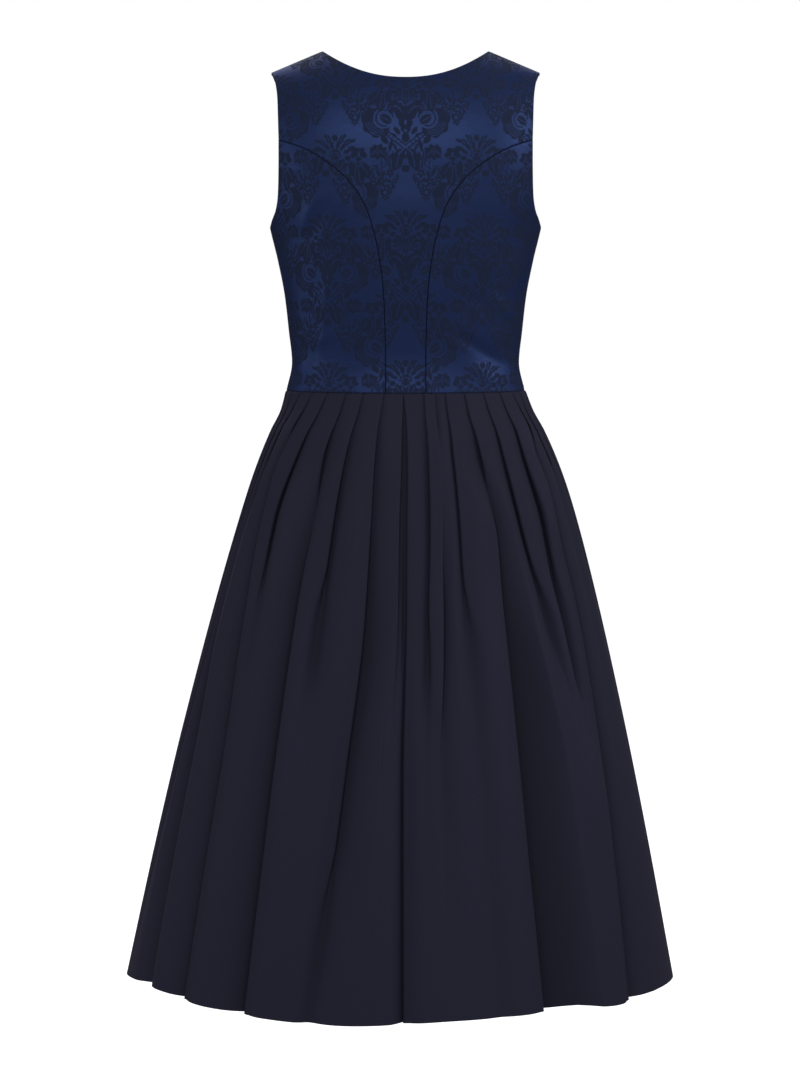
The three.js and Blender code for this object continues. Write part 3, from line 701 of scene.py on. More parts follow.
# Soft ridges of the back: angle and height of the upper end, angle and height of the lower end, and
# how high and how wide in millimetres.
SKIRT_DRAGS = (
    (-48.5, -540, -55.0, -900, 4.5, 15),
    (-10.5, -560, -9.5, -760, 2.5, 9),
    (-26.5, -560, -27.5, -900, 2.0, 18),
    (8.5, -620, 8.0, -980, 2.0, 14),
    (30.5, -560, 31.0, -900, 2.5, 12),
    (45.0, -440, 43.0, -640, 2.0, 10),
    (58.0, -380, 67.0, -500, 3.0, 9),
    (-60.0, -385, -57.5, -570, 3.5, 10),
)
PLEAT_LAP = (8.5, 7, 5, 3.5, 2.5, 2, 2)            # how far a pleat laps over the next one
EDGE_RADIUS = (0.7, 0.9, 1.1, 1.4, 1.7, 2.0, 2.2)  # how sharply the cloth turns at a pleat edge
CROWN = (0.1, 0.7, 1.5, 2.8, 4.2, 5.6, 6.5)        # how far a tube of cloth bows out
CROWN_INSET = 0.7                # share of the crown by which the cloth lies inside the girth
CROWN_PULL = 11.0                # how far a fold holds the cloth beside it in, in millimetres
DARK_AT = (3.5, 5.5, 8, 10, 12, 14, 16)            # depth at which a fold's painted shade is at its darkest
SIDE_ROLL = 0.9                  # how far both halves turn in at the side seams
SIDE_ROLL_REACH = 3.0            # and over how wide a strip
SIDE_LAP = np.array([1.9, 2.1, 2.2])               # depth of the seam allowance under the front
SIDE_LAP_PAST = np.array([0.05, 2.0, 7.0])         # and how far it goes past the seam
SEAM_FADE = 8                    # degrees from a side seam within which the crowns flatten
WAIST_TUCK = 1.5                 # how far the skirt turns in under the bodice at the waist seam
WAIST_TUCK_REACH = 2.0           # how far under the seam that begins
WAIST_TUCK_MOST = 1.35           # above the seam it grows, to the square of this as much at most
SOFT_VALLEY = np.array([
    (-1, 0), (-0.72, 0.1), (-0.48, 0.42), (-0.26, 0.8), (-0.08, 1), (0.08, 1), (0.26, 0.8),
    (0.48, 0.42), (0.66, 0.18), (0.84, 0.04), (1, 0),
])
SAMPLES_PER_SPAN = {"fold": 2, "crest": 3}


def by_height(values, z):
    """A row of values at FOLD_HEIGHTS, joined by straight lines."""
    return np.interp(-z, -FOLD_HEIGHTS, values)


def curve_by_height(values, z):
    """A row of values at FOLD_HEIGHTS, joined by a smooth curve."""
    return column({"z": FOLD_HEIGHTS, "v": np.asarray(values, float)}, "v", z)


def fold_section(row, z, width_in, width_out):
    """Control points of one pleat edge, outwards from the centre: millimetres aside and deep."""
    depth = max(float(curve_by_height(row["deep"], z)), 0.0)
    strength = min(depth / FULL_DEPTH, 1.0)
    lean = 1 - 2 * passed(row["turn"], z) if row["turn"] else 1.0
    reach = float(np.interp(-z, REACH_DEPTHS, (SEAM_REACH,) + row["reach"]))
    radius = float(by_height(EDGE_RADIUS, z)) + (1 - strength) * 3
    lap = float(by_height(PLEAT_LAP, z)) * strength
    floor = 1 - passed(row["floor"], z) if row["floor"] else 0.0
    plateau = row["plateau"] * passed(PLATEAU_SPAN, z)

    def template(room, floor):
        """The outer side on top; the inner cloth slopes in under it."""
        width = min(reach, mix(0.78, 0.92, row["plateau"]) * room)
        level = max(floor, plateau)
        return np.array([
            (-width, depth * floor),
            (-mix(0.5, 0.7, level) * width, depth * mix(0.26, 1, level)),
            (-0.18 * width, depth * mix(0.72, 1, level)),
            (0.5 * lap, depth),
            (lap, depth),
            (lap, 0.62 * depth),
            (0.4 * lap, 0.5 * depth),
            (-0.6 * radius, 0.42 * depth),
            (-0.9 * radius, 0.02 * depth),
            (0.9 * radius, -0.05 * depth),
            (min(3.5 * radius, 0.2 * room), 0),
        ])

    outer_top = template(width_in, floor)
    inner_top = template(width_out, 0.0)[::-1] * np.array([-1, 1])
    section = mix(inner_top, outer_top, (1 + lean) / 2)
    if row["soft"]:
        wide_in = min(reach, mix(0.45, 0.7, (1 + lean) / 2) * width_in)
        wide_out = min(reach, mix(0.7, 0.45, (1 + lean) / 2) * width_out)
        wide = np.where(SOFT_VALLEY[:, 0] < 0, wide_in, wide_out)
        valley = SOFT_VALLEY * np.stack([wide, np.full_like(wide, depth)], -1)
        section = mix(section, valley, passed(row["soft"], z))
    return section, strength


def skirt_controls(left, right, z, side):
    """Control points of one level of half the skirt, from the left side seam to the right one.

    Returns their angles, how deep they lie under the skirt's girth, and the kinds of the spans
    between them.
    """
    girth = (column(SKIRT_GIRTH, "left", z) + column(SKIRT_GIRTH, side, z)) / 2
    mm_per_degree = float(girth) * math.pi / 180
    crown = float(by_height(CROWN, z))
    rows = [(row, 1) for row in reversed(left)] + [(row, -1) for row in right]
    lines = np.array([hand * float(curve_by_height(row["line"], z)) for row, hand in rows])
    gaps = -np.diff(np.concatenate([[90], lines, [-90]])) * mm_per_degree

    aside, deep, strengths = [], [], []
    for k, (row, hand) in enumerate(rows):
        before, after = gaps[k], gaps[k + 1]
        if hand > 0:
            section, strength = fold_section(row, z, after, before)
            section = section[::-1] * np.array([-1, 1])
        else:
            section, strength = fold_section(row, z, before, after)
        aside.append(section[:, 0])
        deep.append(section[:, 1])
        strengths.append(strength)
    for k in range(len(rows) - 1):       # neighbours are narrowed until a crest is left between them
        share = min(0.94 * gaps[k + 1] / (aside[k][-1] - aside[k + 1][0]), 1.0)
        aside[k] = np.where(aside[k] > 0, aside[k] * share, aside[k])
        aside[k + 1] = np.where(aside[k + 1] < 0, aside[k + 1] * share, aside[k + 1])
    aside[0] = np.maximum(aside[0], -0.9 * gaps[0])
    aside[-1] = np.minimum(aside[-1], 0.9 * gaps[-1])
    strengths = np.array(strengths)

    def bulge(angle):
        pull = strengths * np.exp(-(((angle[:, None] - lines) * mm_per_degree / CROWN_PULL) ** 2))
        return -crown * np.prod(1 - pull, axis=1)

    thirds = np.array([1 / 3, 2 / 3])
    angles, sinks, kinds = [np.array([90.0])], [np.zeros(1)], []
    for k in range(len(rows)):
        angle = lines[k] - aside[k] / mm_per_degree
        crest = mix(angles[-1][-1], angle[0], thirds)
        level = mix(sinks[-1][-1] if k else 0.0, deep[k][0], thirds)
        angles += [crest, angle]
        sinks += [level, deep[k]]
        kinds += ["crest"] * 3 + ["fold"] * (len(angle) - 1)
    crest = mix(angles[-1][-1], -90.0, thirds)
    angles += [crest, np.array([-90.0])]
    sinks += [np.zeros(2), np.zeros(1)]
    kinds += ["crest"] * 3
    angles = np.concatenate(angles)
    sinks = np.concatenate(sinks)
    at_seam = smooth((90 - np.abs(angles)) / SEAM_FADE)
    return angles, sinks + bulge(angles) * at_seam, kinds


def spline_basis(kinds):
    """Weights of a smooth curve's control points at each of its samples."""
    count = len(kinds) + 1
    rows = []
    for span, kind in enumerate(kinds):
        samples = SAMPLES_PER_SPAN[kind]
        last = span == len(kinds) - 1
        for step in range(samples + (1 if last else 0)):
            t = step / samples
            weights = np.array([(1 - t) ** 3, 3 * t**3 - 6 * t**2 + 4,
                                -3 * t**3 + 3 * t**2 + 3 * t + 1, t**3]) / 6
            row = np.zeros(count)
            for k, weight in enumerate(weights):
                place = span - 1 + k
                if place < 0:                     # the end is a mirror, so the curve starts there
                    row[0] += 2 * weight
                    row[1] -= weight
                elif place >= count:
                    row[-1] += 2 * weight
                    row[-2] -= weight
                else:
                    row[place] += weight
            rows.append(row)
    return np.array(rows)


def skirt_rows():
    """Heights of the skirt's rows: close together under the waist seam and at the hem."""
    upper = WAIST_Z - SEAM_GAP - np.array([-6, -2, 0, 0.5, 1.1, 1.9, 3, 4.6])
    middle = np.linspace(upper[-1] - 3, -520, 34)
    lower = np.linspace(-529, HEM_Z + 3, 42)
    return np.concatenate([upper, middle, lower, [HEM_Z + 1.2, HEM_Z]])


def skirt_points(side, left, right):
    """The skirt's grid of points, with the flat cloth's places and the tucks."""
    heights = skirt_rows()
    drags = SKIRT_DRAGS if side == "back" else ()
    grid = []
    tucks = []
    for z in heights:
        angles, sinks, kinds = skirt_controls(left, right, z, side)
        basis = spline_basis(kinds)
        angle = basis @ angles
        sink = basis @ sinks
        mm_per_degree = float(column(SKIRT_GIRTH, side, z)) * math.pi / 180
        to_seam = (90 - np.abs(angle)) * mm_per_degree
        sink = sink + SIDE_ROLL * np.clip(1 - to_seam / SIDE_ROLL_REACH, 0, 1) ** 2
        for angle_from, high, angle_to, low, height, reach in drags:
            down = (high - z) / (high - low)
            aside = (angle - mix(angle_from, angle_to, down)) * mm_per_degree
            fade = float(smooth(down / 0.3) * smooth((1 - down) / 0.3))
            sink = sink - height * fade * hill(aside, 0, reach) * np.clip(1 - sink / 4, 0, 1)
        from_seam = WAIST_Z - SEAM_GAP - z
        sink = sink + WAIST_TUCK * min(max(1 - from_seam / WAIST_TUCK_REACH, 0), WAIST_TUCK_MOST) ** 2
        if side == "back":
            past = SIDE_LAP_PAST / mm_per_degree
            angle = np.concatenate([90 + past[::-1], angle, -90 - past])
            sink = np.concatenate([SIDE_LAP[::-1], sink, SIDE_LAP])
        half = np.where(angle > 0, column(SKIRT_GIRTH, "left", z), column(SKIRT_GIRTH, "right", z))
        deep = column(SKIRT_GIRTH, side, z)
        around = angle if side == "back" else np.sign(angle) * (180 - np.abs(angle))
        rise = column(HEM_RISE, "rise", around, "angle") * passed((HEM_RISE_Z, HEM_Z), z)
        facing = 1 if side == "back" else -1
        turn = np.radians(angle)
        inset = CROWN_INSET * float(by_height(CROWN, z)) * smooth((90 - np.abs(angle)) / SEAM_FADE)
        grid.append(np.stack([
            (half - sink - inset) * np.sin(turn),
            facing * ((deep - sink - inset) * np.cos(turn) + SEAM_GAP / 2),
            z + rise,
        ], -1))
        # How deep the point lies in a fold: the finish paints shade from it, and a highlight where it
        # bows out
        tucks.append(np.clip(sink / float(by_height(DARK_AT, z)), -1, 1))
    points = np.array(grid)
    hem = points[-1]
    around = np.concatenate([[0], np.cumsum(np.linalg.norm(np.diff(hem, axis=0), axis=1))])
    down = np.linalg.norm(np.diff(points, axis=0), axis=2)
    fall = np.concatenate([np.zeros((1, points.shape[1])), np.cumsum(down, axis=0)], axis=0)
    cloth_uv = np.stack([np.broadcast_to(around, fall.shape), -fall], -1)
    return points, cloth_uv, np.array(tucks)


def skirt_half(name, side, left, right, finish, sizes):
    """The back or the front of the skirt, with its folds from the left and the right seam."""
    points, cloth_uv, tuck = skirt_points(side, left, right)
    if side == "front":
        points, cloth_uv, tuck = points[:, ::-1], cloth_uv[:, ::-1], tuck[:, ::-1]
    piece = grid_mesh(name, points, cloth_uv, tuck)
    finish_cloth(piece, sizes.skirt_thickness, finish)
    return piece, points


# ---- Finishes ------------------------------------------------------------------------------------
class Graph:
    """Short ways to add nodes to a material or a node group."""

    def __init__(self, tree):
        self.tree = tree

    def node(self, kind, inputs=None, **settings):
        made = self.tree.nodes.new(kind)
        for key, value in settings.items():
            setattr(made, key, value)
        for key, value in (inputs or {}).items():
            if isinstance(value, bpy.types.NodeSocket):
                self.tree.links.new(value, made.inputs[key])
            else:
                made.inputs[key].default_value = value
        return made

    def math(self, operation, a, b=0.0, c=0.0, clamp=False):
        return self.node("ShaderNodeMath", {0: a, 1: b, 2: c}, operation=operation,
                         use_clamp=clamp).outputs[0]

    def axis(self, vector, direction):
        """One part of a vector; a dot product leaves no unused outputs behind."""
        made = self.node("ShaderNodeVectorMath", {0: vector, 1: direction}, operation="DOT_PRODUCT")
        return made.outputs["Value"]

    def length(self, vector):
        return self.node("ShaderNodeVectorMath", {0: vector}, operation="LENGTH").outputs["Value"]

    def seen_from(self, vector, x, y, turn=0.0, wide=1.0, tall=1.0):
        """The place as a shape at x, y sees it that is turned and made `wide` and `tall`."""
        return self.node("ShaderNodeMapping", {
            "Vector": vector, "Location": (x, y, 0.0), "Rotation": (0.0, 0.0, turn),
            "Scale": (wide, tall, 1.0)}, vector_type="TEXTURE").outputs[0]

    def blend(self, share, a, b):
        return self.node("ShaderNodeMix", {0: share, 6: a, 7: b}, data_type="RGBA").outputs[2]


def new_finish(name):
    """A material that holds only a Principled shader and its output."""
    finish = bpy.data.materials.new(name)
    finish.use_nodes = True
    finish.node_tree.nodes.clear()
    graph = Graph(finish.node_tree)
    shader = graph.node("ShaderNodeBsdfPrincipled")
    output = graph.node("ShaderNodeOutputMaterial", {0: shader.outputs[0]})
    output.name = "Output"
    return finish, graph, shader


# The damask, in millimetres: across from its column's axis and down from the top of its crown.
# Everything is drawn on one side of the axis and mirrored. Ovals, leaves and strokes are half
# width, half height and the turn of their upper end away from the axis, in degrees.
CROWN_MASSES = {
    "oval": ((0, 4.6, 3.4, 3.8, 0), (7.6, 6.0, 2.8, 4.8, 20), (14.2, 9.6, 2.8, 5.2, 46),
             (18.8, 16.6, 2.7, 4.6, 72), (3.6, 12.2, 2.1, 4.4, 12), (9.2, 14.6, 2.1, 4.6, 38),
             (13.4, 20.0, 2.1, 4.0, 66), (0, 43.0, 3.4, 6.4, 0), (14.6, 27.4, 3.4, 2.8, 20),
             (13.4, 48.0, 3.4, 4.6, -46), (18.0, 35.4, 2.4, 5.2, 8), (11.0, 2.6, 1.5, 2.2, 30)),
    "lobed": ((0, 23.0, 7.6, 7.2, 9), (27.0, 22.6, 9.6, 8.0, 5), (6.4, 36.0, 9.0, 8.8, 7)),
    "leaf": ((27.0, 45.0, 7.0, 14.4, -8), (34.2, 40.6, 5.8, 13.4, -36), (21.4, 38.8, 4.4, 10.6, 26),
             (6.2, 51.4, 2.3, 8.0, 62), (4.0, 55.0, 1.9, 6.0, 24), (0, 56.4, 2.2, 6.2, 0),
             (20.4, 8.0, 1.7, 4.4, 60), (17.6, 50.4, 1.8, 6.4, -30)),
    "ring": ((12.6, 40.0, 6.4, 0.8),),
}
STEM_MASSES = {
    "oval": ((0, 71.5, 7.8, 7.8, 0), (12.0, 56.0, 5.4, 3.0, -20), (16.0, 58.6, 2.5, 3.6, 10),
             (9.6, 80.8, 2.5, 5.2, 40), (0, 122.8, 4.2, 4.2, 0), (3.4, 79.6, 1.8, 3.0, 30),
             (13.6, 86.4, 2.6, 3.4, 52), (7.6, 92.6, 1.8, 3.2, 52)),
    "leaf": ((6.6, 63.0, 4.2, 10.4, 34), (0, 61.6, 2.6, 7.0, 0), (0, 88.6, 4.2, 6.0, 0),
             (0, 105.2, 6.2, 7.0, 0), (8.8, 113.0, 6.6, 13.0, -14), (4.2, 97.6, 2.0, 6.0, 35),
             (16.4, 97.0, 2.2, 8.4, -14), (23.6, 91.0, 3.4, 6.4, 40), (22.2, 111.6, 2.1, 8.4, 30),
             (11.4, 99.6, 1.6, 5.6, 24), (15.4, 108.6, 1.5, 5.6, -20), (13.4, 121.4, 2.0, 5.0, 20),
             (30.4, 127.4, 2.0, 5.6, 28), (39.2, 128.2, 1.7, 4.6, -20), (19.4, 136.0, 1.8, 4.6, 60),
             (31.2, 139.6, 1.9, 4.8, -60), (26.6, 148.6, 1.8, 5.4, 10), (17.6, 149.6, 1.6, 4.6, -36),
             (14.0, 141.6, 1.6, 4.4, 24), (24.8, 129.0, 1.7, 4.2, -30), (9.0, 131.4, 1.5, 3.8, 10)),
    "lobed": ((31.0, 104.4, 12.0, 8.8, 9),),
    "flower": ((17.0, 128.0, 5.2, 5.2, 0), (26.6, 137.0, 5.8, 5.8, 20), (36.4, 135.0, 5.2, 5.2, 45),
               (20.8, 144.4, 5.4, 5.4, 10), (12.0, 136.0, 4.0, 4.0, 30), (22.6, 154.4, 4.6, 4.6, 5),
               (32.4, 146.0, 4.0, 4.0, 60), (33.4, 121.8, 3.6, 3.6, 0)),
    "stroke": ((26.4, 120.4, 0.7, 9.0, 2), (36.6, 126.0, 0.7, 6.4, 16), (18.0, 116.4, 0.7, 8.4, 8),
               (15.0, 145.0, 0.6, 5.4, -30), (28.4, 142.4, 0.6, 6.4, 30)),
}
LIGHT_LINES = {
    "ring": ((27.0, 30.6, 5.4, 0.5), (0, 25.4, 5.0, 0.45), (31.0, 114.4, 9.6, 0.65)),
    "stroke": ((10.2, 91.4, 2.2, 12.6, 52), (3.6, 103.6, 1.5, 6.0, -45), (27.4, 45.0, 0.5, 9.6, -8),
               (32.6, 38.8, 0.45, 8.4, -36), (7.6, 6.0, 0.45, 3.4, 20), (8.8, 114.0, 0.6, 7.6, -14),
               (20.2, 111.6, 1.5, 9.0, 6), (14.2, 9.6, 0.4, 3.4, 46), (23.2, 43.6, 0.5, 7.6, 4),
               (31.0, 104.0, 0.45, 4.6, 0), (26.6, 104.6, 0.4, 3.6, 50), (35.4, 104.6, 0.4, 3.6, -50),
               (0, 43.0, 0.5, 4.4, 0), (3.0, 36.4, 0.5, 7.2, 8), (6.8, 37.0, 0.5, 6.8, 30),
               (10.2, 39.6, 0.5, 5.6, 54), (3.4, 22.4, 0.4, 3.6, 24)),
    "oval": ((0, 115.6, 3.0, 3.8, 0), (0, 71.5, 1.0, 3.2, 0), (24.2, 31.4, 1.1, 1.4, 0),
             (28.8, 31.4, 1.1, 1.4, 0), (27.0, 22.4, 1.2, 2.4, 0), (0, 106.0, 0.9, 2.2, 0)),
}
DARK_LINES = {
    "stroke": ((8.9, 89.9, 0.75, 12.2, 52), (11.9, 93.1, 0.75, 12.6, 52), (3.0, 104.2, 0.6, 6.0, -45),
               (19.3, 112.0, 0.6, 9.0, 6), (21.3, 111.6, 0.6, 8.0, 6), (10.2, 91.4, 0.5, 3.0, -52),
               (6.2, 94.4, 0.5, 2.6, -52), (14.2, 88.4, 0.5, 2.6, -52), (17.4, 85.9, 0.5, 2.4, -52)),
    "ring": ((31.0, 114.4, 9.6, 0.35), (0, 80.4, 2.8, 0.75)),
}
DRAWN_REPEAT = (79.0, 168.0)     # width of a column and height of a repeat in the tables above
FOLD_SHADE = 0.55                # share of the skirt's colour left deep in a fold: painted shade
PAINTED_HIGHLIGHT = 1.25                   # its colour on the highest crowns: a painted highlight
SATIN_SHINE = 0.42               # share of the ground's light that it mirrors softly
SEAM_SHADOW = (0.002, 0.003, 0.008)
ROSE_PLACE = (23.6, 66.0)
AT_PLACE = {"Place": (0.0, 0.0, 0.0)}


def new_group(name, inputs, outputs):
    """An empty node group. Inputs are name: default, a triple for a vector; outputs are names."""
    tree = bpy.data.node_groups.new(name, "ShaderNodeTree")
    for label, default in inputs.items():
        kind = "NodeSocketVector" if isinstance(default, tuple) else "NodeSocketFloat"
        tree.interface.new_socket(label, in_out="INPUT", socket_type=kind).default_value = default
    for label in outputs:
        tree.interface.new_socket(label, in_out="OUTPUT", socket_type="NodeSocketFloat")
    graph = Graph(tree)
    source = graph.node("NodeGroupInput").outputs
    return tree, graph, source


def close_group(graph, results):
    graph.node("NodeGroupOutput", results)


def use_group(graph, tree, inputs):
    return graph.node("ShaderNodeGroup", inputs, node_tree=tree).outputs


def shape_groups():
    """Small groups that tell how far inside a shape of size 1 a place lies."""
    shapes = {}

    tree, graph, source = new_group("oval shape", AT_PLACE, ("Inside",))
    close_group(graph, {"Inside": graph.math("SUBTRACT", 1.0, graph.length(source["Place"]))})
    shapes["oval"] = tree

    tree, graph, source = new_group("leaf shape", AT_PLACE, ("Inside",))
    along_x = graph.axis(source["Place"], (1, 0, 0))
    along_y = graph.axis(source["Place"], (0, 1, 0))
    across = graph.math("ABSOLUTE", along_x)
    width = graph.math("MULTIPLY", along_y, along_y)
    inside = graph.math("SUBTRACT", graph.math("SUBTRACT", 1.0, width), across)
    close_group(graph, {"Inside": inside})
    shapes["leaf"] = tree

    tree, graph, source = new_group("stroke shape", AT_PLACE, ("Inside",))
    along_x = graph.axis(source["Place"], (1, 0, 0))
    along_y = graph.axis(source["Place"], (0, 1, 0))
    across = graph.math("SUBTRACT", 1.0, graph.math("ABSOLUTE", along_x))
    along = graph.math("SUBTRACT", 1.0, graph.math("ABSOLUTE", along_y))
    close_group(graph, {"Inside": graph.math("MINIMUM", across, graph.math("MULTIPLY", along, 8.0))})
    shapes["stroke"] = tree

    for name, lobes, depth in (("flower", 5.0, 0.24), ("lobed", 9.0, 0.12)):
        tree, graph, source = new_group(name + " shape", {**AT_PLACE, "Lobes": lobes}, ("Inside",))
        along_x = graph.axis(source["Place"], (1, 0, 0))
        along_y = graph.axis(source["Place"], (0, 1, 0))
        far = graph.length(source["Place"])
        turn = graph.math("ARCTAN2", along_x, along_y)
        wave = graph.math("COSINE", graph.math("MULTIPLY", turn, source["Lobes"]))
        rim = graph.math("MULTIPLY_ADD", wave, depth, 1.0 - depth)
        inside = graph.math("SUBTRACT", rim, far)
        if name == "flower":
            inside = graph.math("MINIMUM", inside, graph.math("SUBTRACT", far, 0.22))
        close_group(graph, {"Inside": inside})
        shapes[name] = tree
    return shapes


def place_after(graph, place, value):
    """The same place, but only known once `value` is. A long list of shapes is worked off in
    portions this way, which keeps a shader within the renderer's small store."""
    return graph.node("ShaderNodeVectorMath", {0: value, 1: (0.0, 0.0, 0.0), 2: place},
                      operation="MULTIPLY_ADD").outputs[0]


def join_shapes(graph, shapes, place, masses):
    """How far inside any of the masses the place lies, in millimetres."""
    total = None
    rows = [(kind, row) for kind, kind_rows in masses.items() for row in kind_rows]
    for count, (kind, row) in enumerate(rows):
        if count % 20 == 19:
            place = place_after(graph, place, total)
        x, y, wide, tall = row[:4]
        turned = kind in ("oval", "leaf", "flower", "stroke")
        turn = math.radians(row[4]) if turned else 0.0
        local = graph.seen_from(place, x, y, turn, wide, wide if kind == "ring" else tall)
        if kind == "ring":
            gap = graph.math("ABSOLUTE", graph.math("SUBTRACT", graph.length(local), 1.0))
            inside = graph.math("MULTIPLY_ADD", gap, -wide, tall)
        else:
            known = {"Place": local, "Lobes": row[4]} if kind == "lobed" else {"Place": local}
            inside = use_group(graph, shapes[kind], known)["Inside"]
            inside = graph.math("MULTIPLY", inside, min(wide, tall))
        total = inside if total is None else graph.math("MAXIMUM", total, inside)
    return total


def rose_group():
    """A rose seen from the side: a ring, its heart and a scalloped crescent of petals."""
    tree, graph, source = new_group("rose", AT_PLACE, ("Inside",))
    local = graph.seen_from(source["Place"], *ROSE_PLACE)
    along_x = graph.axis(local, (1, 0, 0))
    along_y = graph.axis(local, (0, 1, 0))
    far = graph.length(local)
    turn = graph.math("ARCTAN2", along_y, along_x)
    lobe = graph.math("COSINE", graph.math("SUBTRACT", turn, math.radians(30)))
    lobe = graph.math("POWER", graph.math("MAXIMUM", lobe, 0.0), 0.6)
    scallop = graph.math("COSINE", graph.math("MULTIPLY", turn, 11.0))
    rim = graph.math("MULTIPLY_ADD", lobe, 15.0, graph.math("MULTIPLY_ADD", scallop, 1.1, 11.0))
    petals = graph.math("MINIMUM", graph.math("SUBTRACT", rim, far),
                        graph.math("SUBTRACT", far, 12.4))
    wave = graph.math("FRACT", graph.math("DIVIDE", graph.math("SUBTRACT", far, 14.4), 2.9))
    wave = graph.math("MULTIPLY_ADD", graph.math("ABSOLUTE", graph.math("SUBTRACT", wave, 0.5)),
                      2.9, -0.42)
    beyond = graph.math("SUBTRACT", far, 22.6)
    aside = graph.math("COSINE", graph.math("SUBTRACT", turn, math.radians(52)))
    aside = graph.math("MULTIPLY", graph.math("SUBTRACT", 0.80, aside), 14.0)
    solid = graph.math("MAXIMUM", graph.math("MAXIMUM", wave, beyond), aside)
    petals = graph.math("MINIMUM", petals, solid)
    ring = graph.math("SUBTRACT", 0.8, graph.math("ABSOLUTE", graph.math("SUBTRACT", far, 9.4)))
    heart = graph.length(graph.seen_from(local, -1.6, 1.4, -0.7, 7.4, 4.8))
    vein = graph.math("ABSOLUTE", graph.math("SUBTRACT", graph.axis(local, (0.5, 0.86, 0)), 0.6))
    heart = graph.math("MULTIPLY", graph.math("SUBTRACT", 1.0, heart), 4.6)
    heart = graph.math("MINIMUM", heart, graph.math("SUBTRACT", vein, 0.4))
    opening = graph.axis(local, (-0.8, 0.6, 0))
    ring = graph.math("MINIMUM", ring, graph.math("SUBTRACT", 7.6, opening))
    inside = graph.math("MAXIMUM", graph.math("MAXIMUM", petals, ring), heart)
    close_group(graph, {"Inside": inside})
    return tree


def damask_group():
    """Where the cloth shows its motif: columns that mirror about their axis, every other one
    half a repeat lower."""
    shapes = shape_groups()
    rose = rose_group()
    wide, tall = DRAWN_REPEAT
    tree, graph, source = new_group(
        "damask", {"Cloth": (0.0, 0.0, 0.0), "Across": wide * MM, "Down": tall * MM}, ("Motif",))
    rough = graph.node("ShaderNodeTexNoise", {
        "Vector": source["Cloth"], "Scale": 420.0, "Detail": 1.0})
    nudge = graph.node("ShaderNodeVectorMath", {0: rough.outputs["Color"], 1: (0.5, 0.5, 0.5)},
                       operation="SUBTRACT").outputs[0]
    nudge = graph.node("ShaderNodeVectorMath", {0: nudge, "Scale": 0.0022},
                       operation="SCALE").outputs[0]
    cloth = graph.node("ShaderNodeVectorMath", {0: source["Cloth"], 1: nudge}).outputs[0]
    along_x = graph.axis(cloth, (1, 0, 0))
    along_y = graph.axis(cloth, (0, 1, 0))
    columns = graph.math("DIVIDE", along_x, source["Across"])
    nearest = graph.math("ROUND", columns)
    aside = graph.math("ABSOLUTE", graph.math("SUBTRACT", columns, nearest))
    dropped = graph.math("FRACT", graph.math("MULTIPLY", nearest, 0.5))
    down = graph.math("DIVIDE", along_y, source["Down"])
    down = graph.math("FRACT", graph.math("SUBTRACT", dropped, down))
    place = graph.node("ShaderNodeCombineXYZ", {
        "X": graph.math("MULTIPLY", aside, wide), "Y": graph.math("MULTIPLY", down, tall)}).outputs[0]
    next_down = graph.math("FRACT", graph.math("ADD", down, 0.5))
    next_place = graph.node("ShaderNodeCombineXYZ", {
        "X": graph.math("MULTIPLY_ADD", aside, -wide, wide),
        "Y": graph.math("MULTIPLY", next_down, tall)}).outputs[0]

    masses = join_shapes(graph, shapes, place, CROWN_MASSES)
    place = place_after(graph, place, masses)
    masses = graph.math("MAXIMUM", masses, join_shapes(graph, shapes, place, STEM_MASSES))
    place = place_after(graph, place, masses)
    gaps = join_shapes(graph, shapes, place, LIGHT_LINES)
    masses = graph.math("MINIMUM", masses, graph.math("MULTIPLY", gaps, -1.0))
    place = place_after(graph, place, masses)
    masses = graph.math("MAXIMUM", masses, join_shapes(graph, shapes, place, DARK_LINES))
    for spot in (place, next_place):
        inside = use_group(graph, rose, {"Place": place_after(graph, spot, masses)})["Inside"]
        masses = graph.math("MAXIMUM", masses, inside)
    edge = graph.node("ShaderNodeMapRange", {
        "Value": masses, "From Min": -0.35, "From Max": 0.35}, interpolation_type="SMOOTHSTEP")
    close_group(graph, {"Motif": edge.outputs[0]})
    return tree


def weave_group():
    """Fine ribs of a plain or satin weave, as a height for bump, and a soft unevenness."""
    tree, graph, source = new_group(
        "weave", {"Cloth": (0.0, 0.0, 0.0), "Pitch": 0.0005}, ("Height", "Uneven"))
    along_x = graph.axis(source["Cloth"], (1, 0, 0))
    along_y = graph.axis(source["Cloth"], (0, 1, 0))
    turns = graph.math("DIVIDE", 2 * math.pi, source["Pitch"])
    warp = graph.math("SINE", graph.math("MULTIPLY", along_x, turns))
    weft = graph.math("SINE", graph.math("MULTIPLY", along_y, turns))
    height = graph.math("MULTIPLY", warp, weft)
    slub = graph.node("ShaderNodeMapping", {
        "Vector": source["Cloth"], "Scale": (70.0, 1300.0, 1.0)}).outputs[0]
    slub = graph.node("ShaderNodeTexNoise", {"Vector": slub, "Scale": 1.0, "Detail": 2.0})
    close_group(graph, {"Height": height, "Uneven": slub.outputs[0]})
    return tree


def cloth_coordinates(graph):
    return graph.node("ShaderNodeUVMap", uv_map="cloth").outputs[0]


